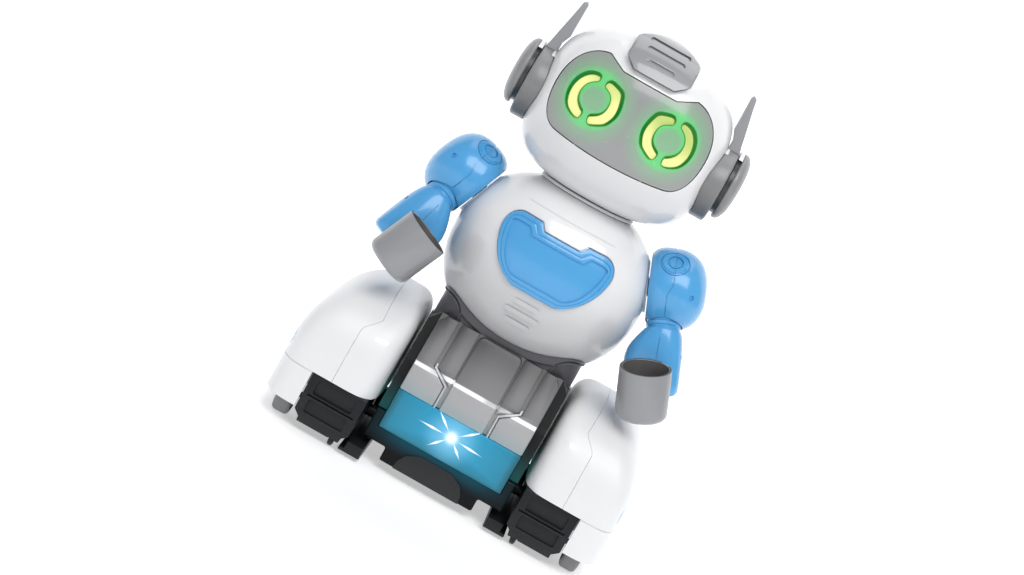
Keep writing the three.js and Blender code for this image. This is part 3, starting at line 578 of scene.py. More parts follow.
def eye_light():
    """A lit eye bracket: pale yellow in its floor, deep green on its walls, dimmer towards its top."""
    nodes = Nodes("eye_light")
    attribute = nodes.tree.nodes.new("ShaderNodeAttribute")
    attribute.attribute_name = "floor"
    floor = attribute.outputs["Fac"]
    share = nodes.math("ADD", floor, nodes.product(nodes.noise(160, 2), 0.12))
    ramp = nodes.tree.nodes.new("ShaderNodeValToRGB")
    nodes.put(share, ramp.inputs["Fac"])
    for position, _ in EYE_COLORS[1:-1]:
        ramp.color_ramp.elements.new(position)
    for element, (_, color) in zip(ramp.color_ramp.elements, EYE_COLORS):
        element.color = (*color, 1)
    x, _, z = nodes.coordinates()
    up = nodes.math("MULTIPLY_ADD", x, 0.25, nodes.math("SUBTRACT", z, EYE_Z))
    shaded = nodes.eased(nodes.math("MULTIPLY_ADD", nodes.noise(260, 3), 3.0, up), -1.0, 10.5, 0.0, 0.52)
    glow = nodes.blend(nodes.product(shaded, floor), ramp.outputs["Color"], (0.20, 0.42, 0.05))
    return nodes.finished(color=nodes.blend(0.55, glow, NO_LIGHT), rough=0.25, specular=0.2, glow=glow,
                          glow_strength=nodes.eased(share, 0.45, 0.85, 0.2, 0.62))


STAR_RAYS = [(141, 12.5), (39, 13.5), (180, 15), (-3, 14.5), (226, 10.5), (-42, 9.7)]   # angle, length


def star_ray(nodes, u, v, angle, length):
    """One thin ray of light that tapers to both its ends."""
    c, k = math.cos(math.radians(angle)), math.sin(math.radians(angle))
    along = nodes.math("ADD", nodes.product(u, c), nodes.product(v, k))
    across = nodes.apart(nodes.product(v, c), nodes.product(u, k))
    taper = nodes.ranged(nodes.apart(along, length * 0.58), 0.0, length * 0.44, 1.0, 0.0)
    width = nodes.math("MULTIPLY_ADD", taper, 0.62, 0.02)
    thin = nodes.math("SUBTRACT", 1.0, nodes.math("DIVIDE", across, width))
    return nodes.product(nodes.math("MAXIMUM", thin, 0.0), taper)


def bar_light():
    """The lit bar: blue lens with a white star of light over the lamp in its middle."""
    nodes = Nodes("bar_light")
    u, _, z = nodes.coordinates()
    v = nodes.math("SUBTRACT", z, (BAR_LOW.z + BAR_HIGH.z) / 2 + 1.6)
    side = nodes.math("ABSOLUTE", u)
    away = nodes.hypotenuse(u, v)
    core = nodes.eased(away, 0.0, 5.0, 1.0, 0.0)
    light = nodes.product(core, core)
    for angle, length in STAR_RAYS:
        light = nodes.math("MULTIPLY_ADD", star_ray(nodes, u, v, angle, length), 1.3, light)
    light = nodes.math("MINIMUM", light, 1.0)
    ends = nodes.ranged(side, 7.0, 26.0, 0.0, 0.85)
    low = nodes.eased(v, -10.0, -2.0, 1.0, 0.0)
    color = nodes.blend(nodes.math("MAXIMUM", ends, low), (0.012, 0.30, 0.52), (0.004, 0.17, 0.27))
    glow = nodes.product(nodes.eased(away, 0.5, 13.0, 1.0, 0.0), 0.75)
    layers = [
        (nodes.eased(side, 23.5, 27.0, 0.0, 0.8), (0.002, 0.05, 0.06)),
        (nodes.eased(v, -10.2, -8.6, 0.7, 0.0), (0.002, 0.06, 0.09)),
        (nodes.product(nodes.noise(70, 2), 0.25), (0.02, 0.36, 0.52)),
        (glow, (0.22, 0.62, 0.90)),
        (light, (1.0, 1.0, 1.0)),
    ]
    for share, over in layers:
        color = nodes.blend(share, color, over)
    nodes.bump(nodes.noise(500, 2))
    return nodes.finished(color=nodes.blend(0.5, color, NO_LIGHT), rough=0.3, glow=color,
                          glow_strength=nodes.math("MULTIPLY_ADD", light, 0.6, 0.6))


def body_front_grey():
    """Grey of the lower front: painted shade makes it deep above its bend; it is pale below, with painted teal
    light from the light bar just above the bar; along the bend it is glossier and carries a painted highlight in
    colour and glow.
    """
    nodes = Nodes("body_front_grey")
    side, level = nodes.side_and_level()
    # Painted shade above the bend, darkest at the top under the torso.
    upper = nodes.blend(nodes.eased(level, 47, 66, 0.0, 1.0), (0.165, 0.165, 0.17), (0.04, 0.04, 0.042))
    # Below the bend: pale grey, with painted teal light from the light bar near its level.
    lower = nodes.blend(nodes.eased(level, 32, 40, 1.0, 0.0), (0.40, 0.40, 0.405), (0.30, 0.38, 0.40))
    grey = nodes.blend(nodes.ranged(level, 43.4, 44.6, 0.0, 1.0), lower, upper)
    # Along the bend: lower roughness, and a painted highlight in colour and glow.
    bend = nodes.eased(nodes.apart(level, BEND_Z), 0.55, 1.0, 1.0, 0.0)
    bend = nodes.product(bend, nodes.ranged(side, 26.6, 26.9, 1.0, 0.0))
    gloss_and_painted_highlight = nodes.product(bend, nodes.eased(nodes.noise(45, 1, (1, 0, 0)), 0.42, 0.52, 0.35, 1.0))
    rough = nodes.math("MULTIPLY_ADD", gloss_and_painted_highlight, -0.18, 0.34)
    nodes.fine_skin()
    return nodes.finished(color=nodes.blend(gloss_and_painted_highlight, grey, (0.86, 0.87, 0.88)), rough=rough,
                          glow=(0.7, 0.7, 0.7), glow_strength=nodes.product(gloss_and_painted_highlight, 0.22))


def strip_shade():
    """Near black painted shade on the strips beside the front panels, with painted teal light from the light bar
    glowing on them near it.
    """
    nodes = Nodes("strip_shade")
    _, level = nodes.side_and_level()
    black = nodes.blend(nodes.noise(40, 2), (0.014, 0.015, 0.015), (0.018, 0.019, 0.019))
    nodes.fine_skin()
    return nodes.finished(color=black, rough=0.5, specular=0.12, glow=(0.0, 0.26, 0.27),
                          glow_strength=nodes.eased(level, 22, 38, 0.22, 0.0))


def tub_black():
    """Black plastic, with painted blue light from the light bar above it glowing faintly on its front."""
    nodes = Nodes("tub_black")
    x, y, z = nodes.coordinates()
    black = nodes.blend(nodes.noise(40, 2), (0.003, 0.0035, 0.0035), (0.005, 0.0055, 0.0055))
    # Painted light of the bar: a faint blue glow on the front, near the bar's level and towards the middle.
    front = nodes.ranged(y, -36.2, -34.5, 1.0, 0.0)
    near = nodes.eased(z, 8.5, 16.0, 0.0, 1.0)
    across = nodes.eased(nodes.math("ABSOLUTE", x), 14, 31, 1.0, 0.15)
    glow = nodes.product(nodes.product(front, near), across)
    nodes.fine_skin()
    return nodes.finished(color=black, rough=0.42, specular=0.16, glow=(0.0, 0.22, 0.34),
                          glow_strength=nodes.product(glow, 0.28))


def pale_floor():
    """A pale floor that glows a little, and more so away from the ground before the object."""
    nodes = Nodes("pale_floor")
    x, y, _ = nodes.coordinates()
    away = nodes.hypotenuse(x, nodes.math("ADD", y, 300))
    far = nodes.eased(away, 350, 650, 0.14, 0.55)
    behind = nodes.eased(y, -100, -10, 0.14, 0.5)
    color = nodes.blend(nodes.noise(3, 2), (0.90, 0.90, 0.91), (0.93, 0.93, 0.94))
    return nodes.finished(color=color, rough=0.7, glow=(1.0, 1.0, 1.0),
                          glow_strength=nodes.math("MAXIMUM", far, behind))


# The head and torso whites carry painted shade, darker towards their bottoms.
HEAD_WHITE = moulded("head_white", CASING, 0.4, coat=0.8, tone=0.012, shade=(143, 164, 0.2))
TORSO_WHITE = moulded("torso_white", CASING, 0.4, coat=0.8, tone=0.012, shade=(78, 112, 0.36))
WHITE = moulded("white_satin", SATIN, 0.36, coat=0.08, tone=0.012)
FENDER_WHITE = fender_white()
VENT_GREY = moulded("vent_grey", SILVER, 0.33, coat=0.9)
# Pale grey as a painted highlight along the line between the panels.
TRIM = moulded("panel_trim", (0.50, 0.51, 0.52), 0.2, coat=0.5)
GREY = moulded("grey_gloss", SILVER, 0.3, coat=0.2, tone=0.008)
DARK_GREY = moulded("dark_grey_satin", (0.072, 0.07, 0.077), 0.38)
BLUE = moulded("blue_gloss", (0.072, 0.352, 0.69), 0.26, coat=0.4)
BLACK = moulded("black_satin", (0.010, 0.012, 0.0135), 0.4, specular=0.3)
CHARCOAL = moulded("charcoal_satin", (0.021, 0.023, 0.025), 0.45, specular=0.3)
# Painted shade: a dark grey for the hollow of each cup.
CUP_SHADE = moulded("cup_inside_shade", (0.10, 0.095, 0.09), 0.55)
RUBBER = moulded("grey_rubber", (0.19, 0.19, 0.195), 0.55, grain=0.12)
NYLON = moulded("natural_nylon", (0.72, 0.69, 0.58), 0.42)
STEEL = metal("drawn_steel", (0.55, 0.56, 0.58), 0.32, (0.2, 1, 1))
CELL = metal("cell_can", (0.60, 0.62, 0.65), 0.25, (0.1, 1, 1))
BOARD = circuit("circuit_board")
FACE = face_grey()
EAR_GREY = ear_grey()
EYE_LIGHT = eye_light()
BAR_LIGHT = bar_light()
BODY_FRONT = body_front_grey()
# Painted shade and painted teal light on the strips beside the front panels.
STRIP_SHADE = strip_shade()
TUB_BLACK = tub_black()


# ---- registering the pieces ---------------------------------------------------------------

NODE_BODY = {node: body for body, nodes in frame["record"]["behaviour"]["bodies"].items() for node in nodes}


def dress(obj, material, smooth):
    """Gives a piece its material, and leaves only its edges above an angle sharp."""
    obj.data.materials.clear()
    obj.data.materials.append(material)
    obj.data.shade_smooth()
    obj.data.set_sharp_from_angle(angle=math.radians(smooth))


def second_material(obj, material, belongs):
    """Gives the faces that pass a test another material."""
    obj.data.materials.append(material)
    for face in obj.data.polygons:
        if belongs(face.center / MM):
            face.material_index = 1


def add_detail(obj, name, beside, material, smooth=32):
    """A small extra piece that rides with the CAD node beside it."""
    obj.name = name
    obj.data.name = name
    dress(obj, material, smooth)
    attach(obj, NODE_BODY[beside])
    return obj


def stand_for(obj, node, material, smooth=32):
    """Names a finished piece, colours it, and puts it in the place of its CAD node."""
    add_detail(obj, f"{node}_fine", node, material, smooth)
    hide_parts(node)
    return obj


def pair(left, name, material, left_place=Matrix(), right_place=Matrix()):
    """The left piece as made, and the right one mirrored, each put in its own place."""
    right = mirrored(copied(left))
    left.data.transform(left_place)
    right.data.transform(right_place)
    return (stand_for(left, f"left_{name}", material), stand_for(right, f"right_{name}", material))


# ---- head -------------------------------------------------------------------------------

def face_outline(grow=0.0):
    side = 32.4 + grow
    right = [(11.5, 180.8 + grow), (19, 184.3 + grow)]
    right += bezier((19, 184.3 + grow), (26.5, 183.3 + grow), (side, 176.5), (side, 165))[1:]
    right += bezier((side, 165), (side, 157.5), (30.5, 149.6 - grow), (23, 149 - grow))
    right += bezier((23, 149 - grow), (15.5, 148.1 - grow), (8, 147.6 - grow), (0, 147.6 - grow))
    return right + [(0, 147.6 - grow)] + [(-x, z) for x, z in reversed(right)]


def vent_outline(grow=0.0):
    half = 13.2 + grow
    low = 8.6 + grow
    return with_mirror([(low, 184 - grow), (half, 187.6), (half, 215)])


# The corners of the two eye brackets, out from the middle of the eye and up, before rounding.
OUTER_BRACKET = [
    (1.4, 6.6), (1.3, 9.2), (3.4, 9.9), (7.0, 8.6), (9.7, 5.2), (10.9, 1.2), (10.8, -3.0), (9.2, -6.9),
    (6.2, -9.0), (3.0, -9.9), (1.3, -8.8), (1.3, -5.6), (3.4, -4.6), (5.5, -2.4), (6.1, 0.6), (5.3, 3.6),
    (3.4, 5.6),
]
INNER_BRACKET = [
    (1.2, 8.4), (2.8, 9.9), (6.2, 9.2), (9.2, 8.0), (10.4, 5.0), (11.2, 1.6), (11.2, -1.6), (10.2, -4.4),
    (9.0, -6.6), (6.0, -8.4), (3.0, -9.8), (1.2, -8.4), (1.1, -5.6), (3.0, -4.6), (4.9, -3.2), (6.0, -1.0),
    (6.0, 2.2), (4.9, 4.4), (3.0, 5.4), (1.2, 6.2),
]


def bracket(points, x, side):
    outline = rounded(points)
    if side < 0:
        outline = [(-a, b) for a, b in reversed(outline)]
    return [(x + a, EYE_Z + b) for a, b in outline]


EYES = [
    ("right_eye_outer_arc", OUTER_BRACKET, -EYE_X, -1),
    ("right_eye_inner_arc", INNER_BRACKET, -EYE_X, 1),
    ("left_eye_inner_arc", INNER_BRACKET, EYE_X, -1),
    ("left_eye_outer_arc", OUTER_BRACKET, EYE_X, 1),
]


def eye_tray(outline, centre):
    """A shallow lit tray: rim at the face, walls sloping in and down to a domed floor."""
    steps = [(0.0, 0.2, 0.0, 0.0), (0.2, 0.25, 0.15, 0.0), (0.4, -0.2, 0.35, 0.15), (0.85, -0.9, 0.5, 0.5),
             (0.95, -0.95, 0.75, 0.55), (1.5, -0.8, 1.0, 0.5)]
    points, floor = [], []
    for amount, height, share, lean in steps:
        for x, z in inset(outline, amount):
            points.append((x + math.copysign(lean, centre - x), z - lean, height))
            floor.append(share)
    sides = len(outline)
    skin = [(x, egg_front(HEAD, x, z) - height, z) for x, z, height in points]
    skin += [(x, egg_front(HEAD, x, z) + 2.4, z) for x, z in outline]
    floor += [0.0] * sides
    faces = []
    for r in range(len(steps) - 1):
        for s in range(sides):
            a, b = r * sides + s, r * sides + (s + 1) % sides
            faces.append((a, b, b + sides, a + sides))
    last = (len(steps) - 1) * sides
    for s in range(sides):
        a, b = s, (s + 1) % sides
        faces.append((b, a, last + sides + a, last + sides + b))
    for start in (last, last + sides):
        ring = [Vector((skin[start + s][0], skin[start + s][2], 0)) for s in range(sides)]
        faces += [tuple(start + i for i in triangle) for triangle in tessellate_polygon([ring])]
    tray = outward(form(skin, faces))
    layer = tray.data.attributes.new("floor", "FLOAT", "POINT")
    layer.data.foreach_set("value", floor)
    return tray


def head_shell():
    floor = cut(egg(HEAD, -0.3), layer(HEAD_FLOOR + WALL, SKY))
    pocket = cut(front_prism(vent_outline(0.5), -60, 12.6), egg(HEAD, -0.9))
    return cut(join(egg_skin(HEAD), floor), layer(100, HEAD_FLOOR), neck_bore(), pocket)


def build_head():
    front = cut(common(head_shell(), front_half()), through_front(face_outline(0.42)))
    stand_for(front, "head_front_shell", HEAD_WHITE)
    screws = [bar("y", 1.9, 27, 40, x, 141.5, 32) for x in (-17, 17)]
    rear = cut(common(head_shell(), rear_half()), *screws)
    stand_for(rear, "head_rear_shell", HEAD_WHITE)


def build_face():
    panel = common(egg_skin(HEAD, -0.12), through_front(face_outline()))
    for node, points, x, side in EYES:
        outline = bracket(points, x, side)
        panel = cut(panel, through_front(inset(outline, -0.08)))
        stand_for(eye_tray(outline, x), node, EYE_LIGHT, 60)
    stand_for(panel, "face_panel", FACE)


def build_vent_plate():
    slots = []
    for half, z in ((8.3, 197.1), (7.6, 193.9), (5.4, 189.5)):
        stroke = [(half - 0.2, z + 0.45), (half + 0.5, z - 0.4), (half, z - 1.0), (half - 0.9, z - 0.35)]
        slots.append(cut(front_prism(with_mirror(stroke), -60, 0), egg(HEAD, 1.75, 3.6)))
    plate = common(cut(egg(HEAD, 2.2, 4.2), egg(HEAD, -0.55)), front_prism(vent_outline(), -60, 12))
    plate = common(plate, bar("y", 24, -60, 60, 0, 176, 160))
    stand_for(soften(cut(plate, *slots), 0.28), "vent_plate", VENT_GREY)


def ear_base():
    face = 43.7
    profile = [(30, 0), (30, EAR_RADIUS), (face - 0.9, EAR_RADIUS), (face - 0.3, EAR_RADIUS - 0.25),
               (face, EAR_RADIUS - 0.9), (face, 0)]
    return soften(cut(turned(profile, 0, EAR_Z, 96), egg(HEAD, GAP)), 0.25)


def ear_dome():
    rim, tip, radius, stem = 45.7, 50.4, 14, 12.4
    shoulder = rim + 0.8
    profile = [(44.05, 0), (44.05, stem), (rim, stem), (rim, radius - 0.5), (rim + 0.35, radius)]
    profile += [(shoulder + (tip - shoulder) * up, radius * max(0, out) ** 0.62) for up, out in quarter(13)]
    return turned(profile, 0, DOME_Z, 96)


def antenna_fin():
    blade = [(38.6, 168), (43.4, 168), (43.4, 173.8), (42.6, 176.5), (41.7, 180.9), (39.6, 190.5),
             (38.7, 195.3), (37.3, 196.2), (36.6, 194.9), (36.9, 180.9), (38.6, 177)]
    side = with_mirror([(4.6, 168), (4.2, 182), (2.2, 197)])
    fin = common(front_prism(blade, -6, 6), side_prism(side, 30, 50))
    fin = cut(fin, bar("x", EAR_RADIUS + 0.12, 20, 60, 0, EAR_Z, 96), egg(HEAD, 0.15))
    return soften(fin, 0.5, 3, 30)


def rim_highlight_piece(x0, x1, radius, height, reach):
    """A small white piece over the top of a round ear piece, beside the root of the fin: a painted highlight on
    the ear's rim.
    """
    ring = turned([(x0, 0), (x0, radius), (x1, radius), (x1, 0)], 0, height, 120)
    low = height + math.sqrt(radius * radius - reach * reach)
    return cut(common(ring, block(0, 60, -reach, reach, low, SKY)), egg(HEAD, 0.1))


def build_ears():
    pair(ear_base(), "ear_base", EAR_GREY)
    pair(ear_dome(), "ear_dome", EAR_GREY)
    pair(antenna_fin(), "antenna_fin", GREY)
    # White pieces at the fin roots are painted highlights on the ear rims.
    rim_highlights = [("ear_base", 36.2, 39.4, EAR_RADIUS + 0.2, EAR_Z, 8.6),
             ("ear_dome", 43.95, 45.65, 13.9, DOME_Z, 8.0)]
    for node, *size in rim_highlights:
        for side, rim_highlight in zip(("right", "left"), both(rim_highlight_piece(*size))):
            add_detail(rim_highlight, f"{side}_{node}_clip", f"{side}_{node}", WHITE)


# ---- torso ------------------------------------------------------------------------------

def badge_outline(grow=0.0):
    right = [(8 - grow, 112.9 + grow), (10.3 - grow, 115.7 + grow), (17.5, 115.7 + grow)]
    right += bezier((17.5, 115.7 + grow), (22, 115.2 + grow), (24 + grow, 111.5), (23.6 + grow, 107.5))[1:]
    right += bezier((23.6 + grow, 107.5), (22.5 + grow, 99.5), (17 + grow, 91.5), (9.1, 89.4 - grow))
    right.append((9.1, 89.4 - grow))
    return with_mirror(right)


def along_shoulder(obj):
    """Turns a form made about the Z axis so that Z runs out along the left shoulder's axis."""
    turn = ALONG.to_track_quat("Z", "Y").to_matrix().to_4x4()
    obj.data.transform(Matrix.Translation(SHOULDER * MM) @ turn)
    return obj


def shoulder_bar(radius, start, end, sides=96):
    return along_shoulder(bar("z", radius, start, end, 0, 0, sides))


def torso_shell():
    """The torso's casing, with a boss and a round seat for each shoulder."""
    face = -BARREL["face"] - 0.4
    bosses = both(shoulder_bar(10.5, face - 6, face))
    bores = both(shoulder_bar(4.3, face - 20, face + 10))
    seats = both(shoulder_bar(BARREL["radius"] + 0.8, face, 20))
    return cut(join(egg_skin(TORSO), *bosses), layer(TORSO_TOP, SKY), neck_bore(), *bores, *seats)


def build_torso_front():
    shell = common(torso_shell(), front_half())
    for half, z in ((5.2, 84.7), (7.2, 80.4), (5.2, 76.2)):
        rib = rounded_box(-half, half, z - 0.9, z + 0.9, 0.7)
        shell = join(shell, common(egg_skin(TORSO, 0.7, -1), through_front(rib)))
    crease = cut(block(-19, 19, -60, -8, 120.15, 120.5), egg(TORSO, -0.2))
    seat = cut(through_front(badge_outline(0.4)), egg(TORSO, -0.7))
    stand_for(cut(shell, crease, seat), "torso_front_shell", TORSO_WHITE)


DOOR_LOW, DOOR_HIGH = corner_mm("battery_door")


def door_block(grow):
    """The battery door's outline, pushed through the back of the torso."""
    return block(DOOR_LOW.x - grow, DOOR_HIGH.x + grow, 12, 60, DOOR_LOW.z - grow, DOOR_HIGH.z + grow)


def back_recess(x, z, radius, depth, sides):
    """A round recess in the back of the torso, for the head of a screw."""
    return bar("y", radius, -egg_front(TORSO, x, z) - depth, 60, x, z, sides)


def build_torso_rear():
    slot_z = centre_mm("power_switch").z
    slot = block(-5.35, 5.35, 12, 60, slot_z - 1.6, slot_z + 1.6)
    screws = [back_recess(x, z, 1.9, 1.2, 32) for x in (-29, 29) for z in (84, 104)]
    rear = cut(common(torso_shell(), rear_half()), door_block(GAP), slot, *screws)
    stand_for(rear, "torso_rear_shell", TORSO_WHITE)


def build_battery_door():
    door = common(egg_skin(TORSO), door_block(0))
    lines = [cut(block(-7, 7, 12, 60, z - 0.35, z + 0.35), egg(TORSO, -0.5)) for z in (104, 106, 108, 110)]
    door = cut(door, *lines, back_recess(0, 78, 2.2, 1.3, 40))
    stand_for(soften(door, 0.15), "battery_door", TORSO_WHITE)


def build_badge():
    plate = common(egg_skin(TORSO, 1.5, -0.55), through_front(badge_outline()))
    dish = cut(through_front(badge_outline(-3.2)), egg(TORSO, 0.75))
    line = cut(through_front(badge_outline(-1.5)), egg(TORSO, 1.28), through_front(badge_outline(-1.75)))
    stand_for(soften(cut(plate, dish, line), 0.22), "chest_badge", BLUE)


def build_collar():
    steps = ((20.6, 0.2), (20.6, 0.55), (20.0, 1.2))
    rings = [level_ring(-half, half, 0, half - 4, TORSO_TOP + up, 2.1) for half, up in steps]
    stand_for(cut(loft(rings), neck_bore()), "neck_collar", WHITE)


# ---- waist and lower body ---------------------------------------------------------------

WAIST_TOP = 75.0


def waist_form(grow, low, high):
    rings = [level_ring(-WAIST_HIGH.x - grow, WAIST_HIGH.x + grow, 0, WAIST_HIGH.y + grow, z, 4, 128)
             for z in (low, high)]
    return loft(rings)


def build_waist():
    """The cradle under the torso, with a groove along its upper edge and an arc at each corner."""
    low, top = WAIST_LOW.z, WAIST_TOP
    right = [(20.2, 50), (20.6, 63.4)]
    right += bezier((20.6, 63.4), (21.2, 68.6), (25, 71), (31, 71.4)) + [(40, 71.6), (40, 90)]
    yoke = front_prism(with_mirror(right), -60, 60)
    cradle = join(common(waist_form(0, low, top), yoke), waist_form(-0.9, low, top - 1.5))
    band = common(egg_skin(TORSO, 3.4, 2.6), waist_form(0.2, low, top))
    groove = cut(band, waist_form(-0.6, low - 2, top + 2))
    arc = cut(bar("y", 9.4, -60, -12, 29, 63, 96), bar("y", 8.8, -61, -11, 29, 63, 96))
    arc = cut(arc, waist_form(-0.7, low - 2, top + 2))
    cradle = cut(cradle, egg(TORSO, GAP), groove, block(-21, 21, -14, 14, 50, 80), *both(arc))
    stand_for(soften(cradle, 0.3), "waist_collar", DARK_GREY)


FLANK_BACK = 1.2        # how far each stepped panel lies behind the middle column
CASING_BACK = 2.3
STRIP_BACK = 3.4
SLAB = 2.2              # thickness of the middle column
PANEL_REACH = (9.9, 29)


def front_profile(back, top, bottom):
    """Side outline of the lower body's front, from the top down, with its bends rounded."""
    bends = [Vector(p) for p in
             ((-25.2, top), (-33.5, 45.6), (-34.65, BEND_Z - 0.9), (-37, 33.2), (-37, bottom))]
    line = [bends[0]]
    for before, bend, after in zip(bends, bends[1:], bends[2:]):
        start, end = (bend.lerp(p, min(0.4, 2.6 / (p - bend).length)) for p in (before, after))
        line += bezier(start, bend, bend, end, 6) + [end]
    line.append(bends[-1])
    return [(y + back, z) for y, z in line]


def profile_slab(back, x0, x1, thick):
    front = front_profile(back, BODY_TOP, BODY_BOTTOM)
    rear = front_profile(back + thick, BODY_TOP, BODY_BOTTOM)
    return side_prism(front + rear[::-1], x0, x1)


def profile_block(back, half, top=BODY_TOP, bottom=BODY_BOTTOM):
    """The lower body's whole form, drawn in by a distance at its front and its back."""
    return side_prism(with_mirror(front_profile(back, top, bottom)), -half, half)


def body_casing():
    """The hollow body, with a chamfered strip set back along each side."""
    slope = [(26.9, BODY_TOP), (26.9, 80), (40, 80), (40, BODY_TOP - 9), (BODY_HALF, BODY_TOP - 4.5)]
    strips = cut(profile_block(STRIP_BACK, BODY_HALF), *both(front_prism(slope, -60, 60)))
    middle = profile_block(CASING_BACK, BAR_HIGH.x)
    hollow = [profile_block(back + WALL, half - WALL, BODY_TOP - WALL, 0)
              for back, half in ((CASING_BACK, BAR_HIGH.x), (STRIP_BACK, BODY_HALF))]
    return cut(join(middle, strips), *hollow)


def seat_of_waist():
    return waist_form(GAP, WAIST_LOW.z - GAP, WAIST_TOP)


def panels(obj):
    """Adds the stepped panels of the front face to a casing."""
    column = profile_slab(0, -9.5, 9.5, SLAB)
    corner = rounded_box(-9.5, 9.5, 15, BODY_TOP, 2.4)
    parts = [soften(common(column, through_front(corner)), 0.55, 3)]
    flank = [(10.2, 70), (10.2, 42.2), (17.9, 46.6), (17.9, 70)]
    outer = [(19.7, 70), (19.7, 46.3), (12.6, 41.4), (12.6, 20), (26.7, 20), (26.7, 61.6), (24.6, 63.8),
             (24.6, 70)]
    for shape, back in ((flank, FLANK_BACK), (outer, FLANK_BACK / 3)):
        part = common(profile_slab(back, *PANEL_REACH, SLAB + 0.8), through_front(shape))
        parts += both(soften(part, 0.35))
    return join(obj, *parts)


def build_panel_trim():
    """A thin bright line between the stepped panels, on each side; its pale colour is a painted highlight."""
    line = [(19.1, 47.9), (19.1, 46.1), (12.05, 41.75), (12.05, 30), (11.35, 30), (11.35, 42.15),
            (18.4, 46.5), (18.4, 47.9)]
    trim = common(profile_slab(0.5, *PANEL_REACH, SLAB + 1.8), through_front(line))
    for side, piece in zip(("right", "left"), both(soften(trim, 0.2))):
        add_detail(piece, f"{side}_panel_trim", "lower_front_panel", TRIM)


def build_lower_front():
    front = panels(common(body_casing(), block(-FAR, FAR, -FAR, -GAP / 2, 0, 100)))
    window = block(BAR_LOW.x - GAP, BAR_HIGH.x + GAP, -60, -30, 0, BAR_HIGH.z + GAP)
    front = stand_for(cut(front, window, seat_of_waist()), "lower_front_panel", BODY_FRONT, 28)
    # The strips beside the panels get the near black painted shade and painted teal light.
    second_material(front, STRIP_SHADE, lambda place: abs(place.x) > BAR_HIGH.x - 0.05)


def build_lower_rear():
    """The rear panel, with three slots over its column and a rail down each side."""
    rear = common(body_casing(), block(-FAR, FAR, GAP / 2, FAR, 0, 100))
    slots = [block(-12, 12, 20, 60, z - 0.7, z + 0.7) for z in (50, 53.2, 56.4)]
    column = common(profile_block(FLANK_BACK, 9.5), block(-FAR, FAR, 26, FAR, 24, 60))
    rear = cut(join(rear, soften(column, 0.4)), *slots, seat_of_waist())
    rails = both(block(BODY_HALF - 0.6, SIDE_RAIL, 2, 6, 21.7, 58))
    stand_for(join(rear, *rails), "lower_rear_panel", GREY, 28)


def build_light_bar():
    lens = block(BAR_LOW.x, BAR_HIGH.x, BAR_LOW.y, BAR_HIGH.y, BAR_LOW.z, BAR_HIGH.z)
    stand_for(soften(lens, 0.4, 3), "light_bar", BAR_LIGHT)


SOLE_OUTER = 34.2       # outer side of the runner on the sole block
TUB = {"half": 30.8, "deep": 36, "floor": 3.9, "step": 9.5, "step_half": 20.5, "rim": 15.6, "side": 22}
SHAFT_Y = 18
SHAFT_Z = 15.5
SHAFT_RADIUS = 5


def tub_section(t):
    half, step_half = TUB["half"] - t, TUB["step_half"] - t
    low, step, side = TUB["floor"] + t, TUB["step"] + t, TUB["side"] + t
    return with_mirror([(step_half, low), (step_half, step), (half, step), (half, side)])


def build_tub():
    body = soften(front_prism(tub_section(0), -TUB["deep"], TUB["deep"]), 0.8, 3)
    tools = [front_prism(tub_section(2), -TUB["deep"] + 2, TUB["deep"] - 2),
             block(BAR_LOW.x - GAP, BAR_HIGH.x + GAP, -60, 60, TUB["rim"], 40)]
    tools += [bar("x", SHAFT_RADIUS + GAP, -50, 50, y, SHAFT_Z, 48) for y in (-SHAFT_Y, SHAFT_Y)]
    rail_top = LEG["hem"] - LEG_SHIFT - GAP     # clear of the fender at its lowest
    rails = both(block(TUB["half"] - 0.6, SOLE_OUTER - 0.05, -2, 2, TUB["step"], rail_top))
    stand_for(join(cut(body, *tools), *rails), "base_tub", TUB_BLACK)
    arch = with_mirror([(7, 13.4), (12.2, 10.8), (14.3, 7.0), (14.5, 3.95)])
    plate = soften(front_prism(arch, -TUB["deep"] - 0.75, -TUB["deep"] + 0.5), 0.3)
    add_detail(plate, "tub_arch_plate", "base_tub", CHARCOAL)


# ---- legs -------------------------------------------------------------------------------

def leg_form(grow_in=0.0, low=LEG["skirt"]):
    """The rounded form of a leg's fender, drawn in by a distance."""
    rings = []
    levels = [low, 12, 16, 20, 24, 27]
    levels += [30 + (LEG["top"] - 30) * up for up, _ in quarter(28)]
    levels[-1] = LEG["top"] - 0.02
    for z in levels:
        out = fullness(max(0, (z - 30) / (LEG["top"] - 30)), 2)
        into = fullness(max(0, (z - 50) / (LEG["top"] - 50)), 2.5)
        deep = fullness(max(0, (z - 22) / (LEG["top"] - 22)), 2.6)
        x0 = LEG["ridge"] - (LEG["ridge"] - LEG["inner"] - grow_in) * into
        x1 = LEG["ridge"] + (LEG["outer"] - LEG["ridge"] - grow_in) * out
        level = z - (grow_in if z > 30 else 0)
        rings.append(level_ring(x0, x1, 0, (LEG["deep"] - grow_in) * deep, level, LEG["sharp"], 144))
    return loft(rings)


FENDER_SEAM = [(46.6, 90), (46.6, 66), (45, 53.2), (46.0, 51.9), (49.8, 48.4), (50.4, 47.0), (50.4, -10)]
SEAM_GAP = 0.06


def inside_seam(shift):
    """Everything on the inner side of the fender's seam."""
    line = [(x + shift, z) for x, z in FENDER_SEAM]
    return front_prism([(10, -10), (10, 90)] + line, -FAR, FAR)


CAP_LOW, CAP_HIGH = corner_mm("left_leg_cap")


def cap_prism(grow, start, end):
    """The side cap's oval, grown all round, between two distances from the middle."""
    half, middle = (CAP_HIGH - CAP_LOW) / 2, (CAP_HIGH + CAP_LOW) / 2
    oval = [((half.y + grow) * p, middle.z + (half.z + grow) * q) for p, q in circle(1.0, 96)]
    return side_prism(oval, start, end)


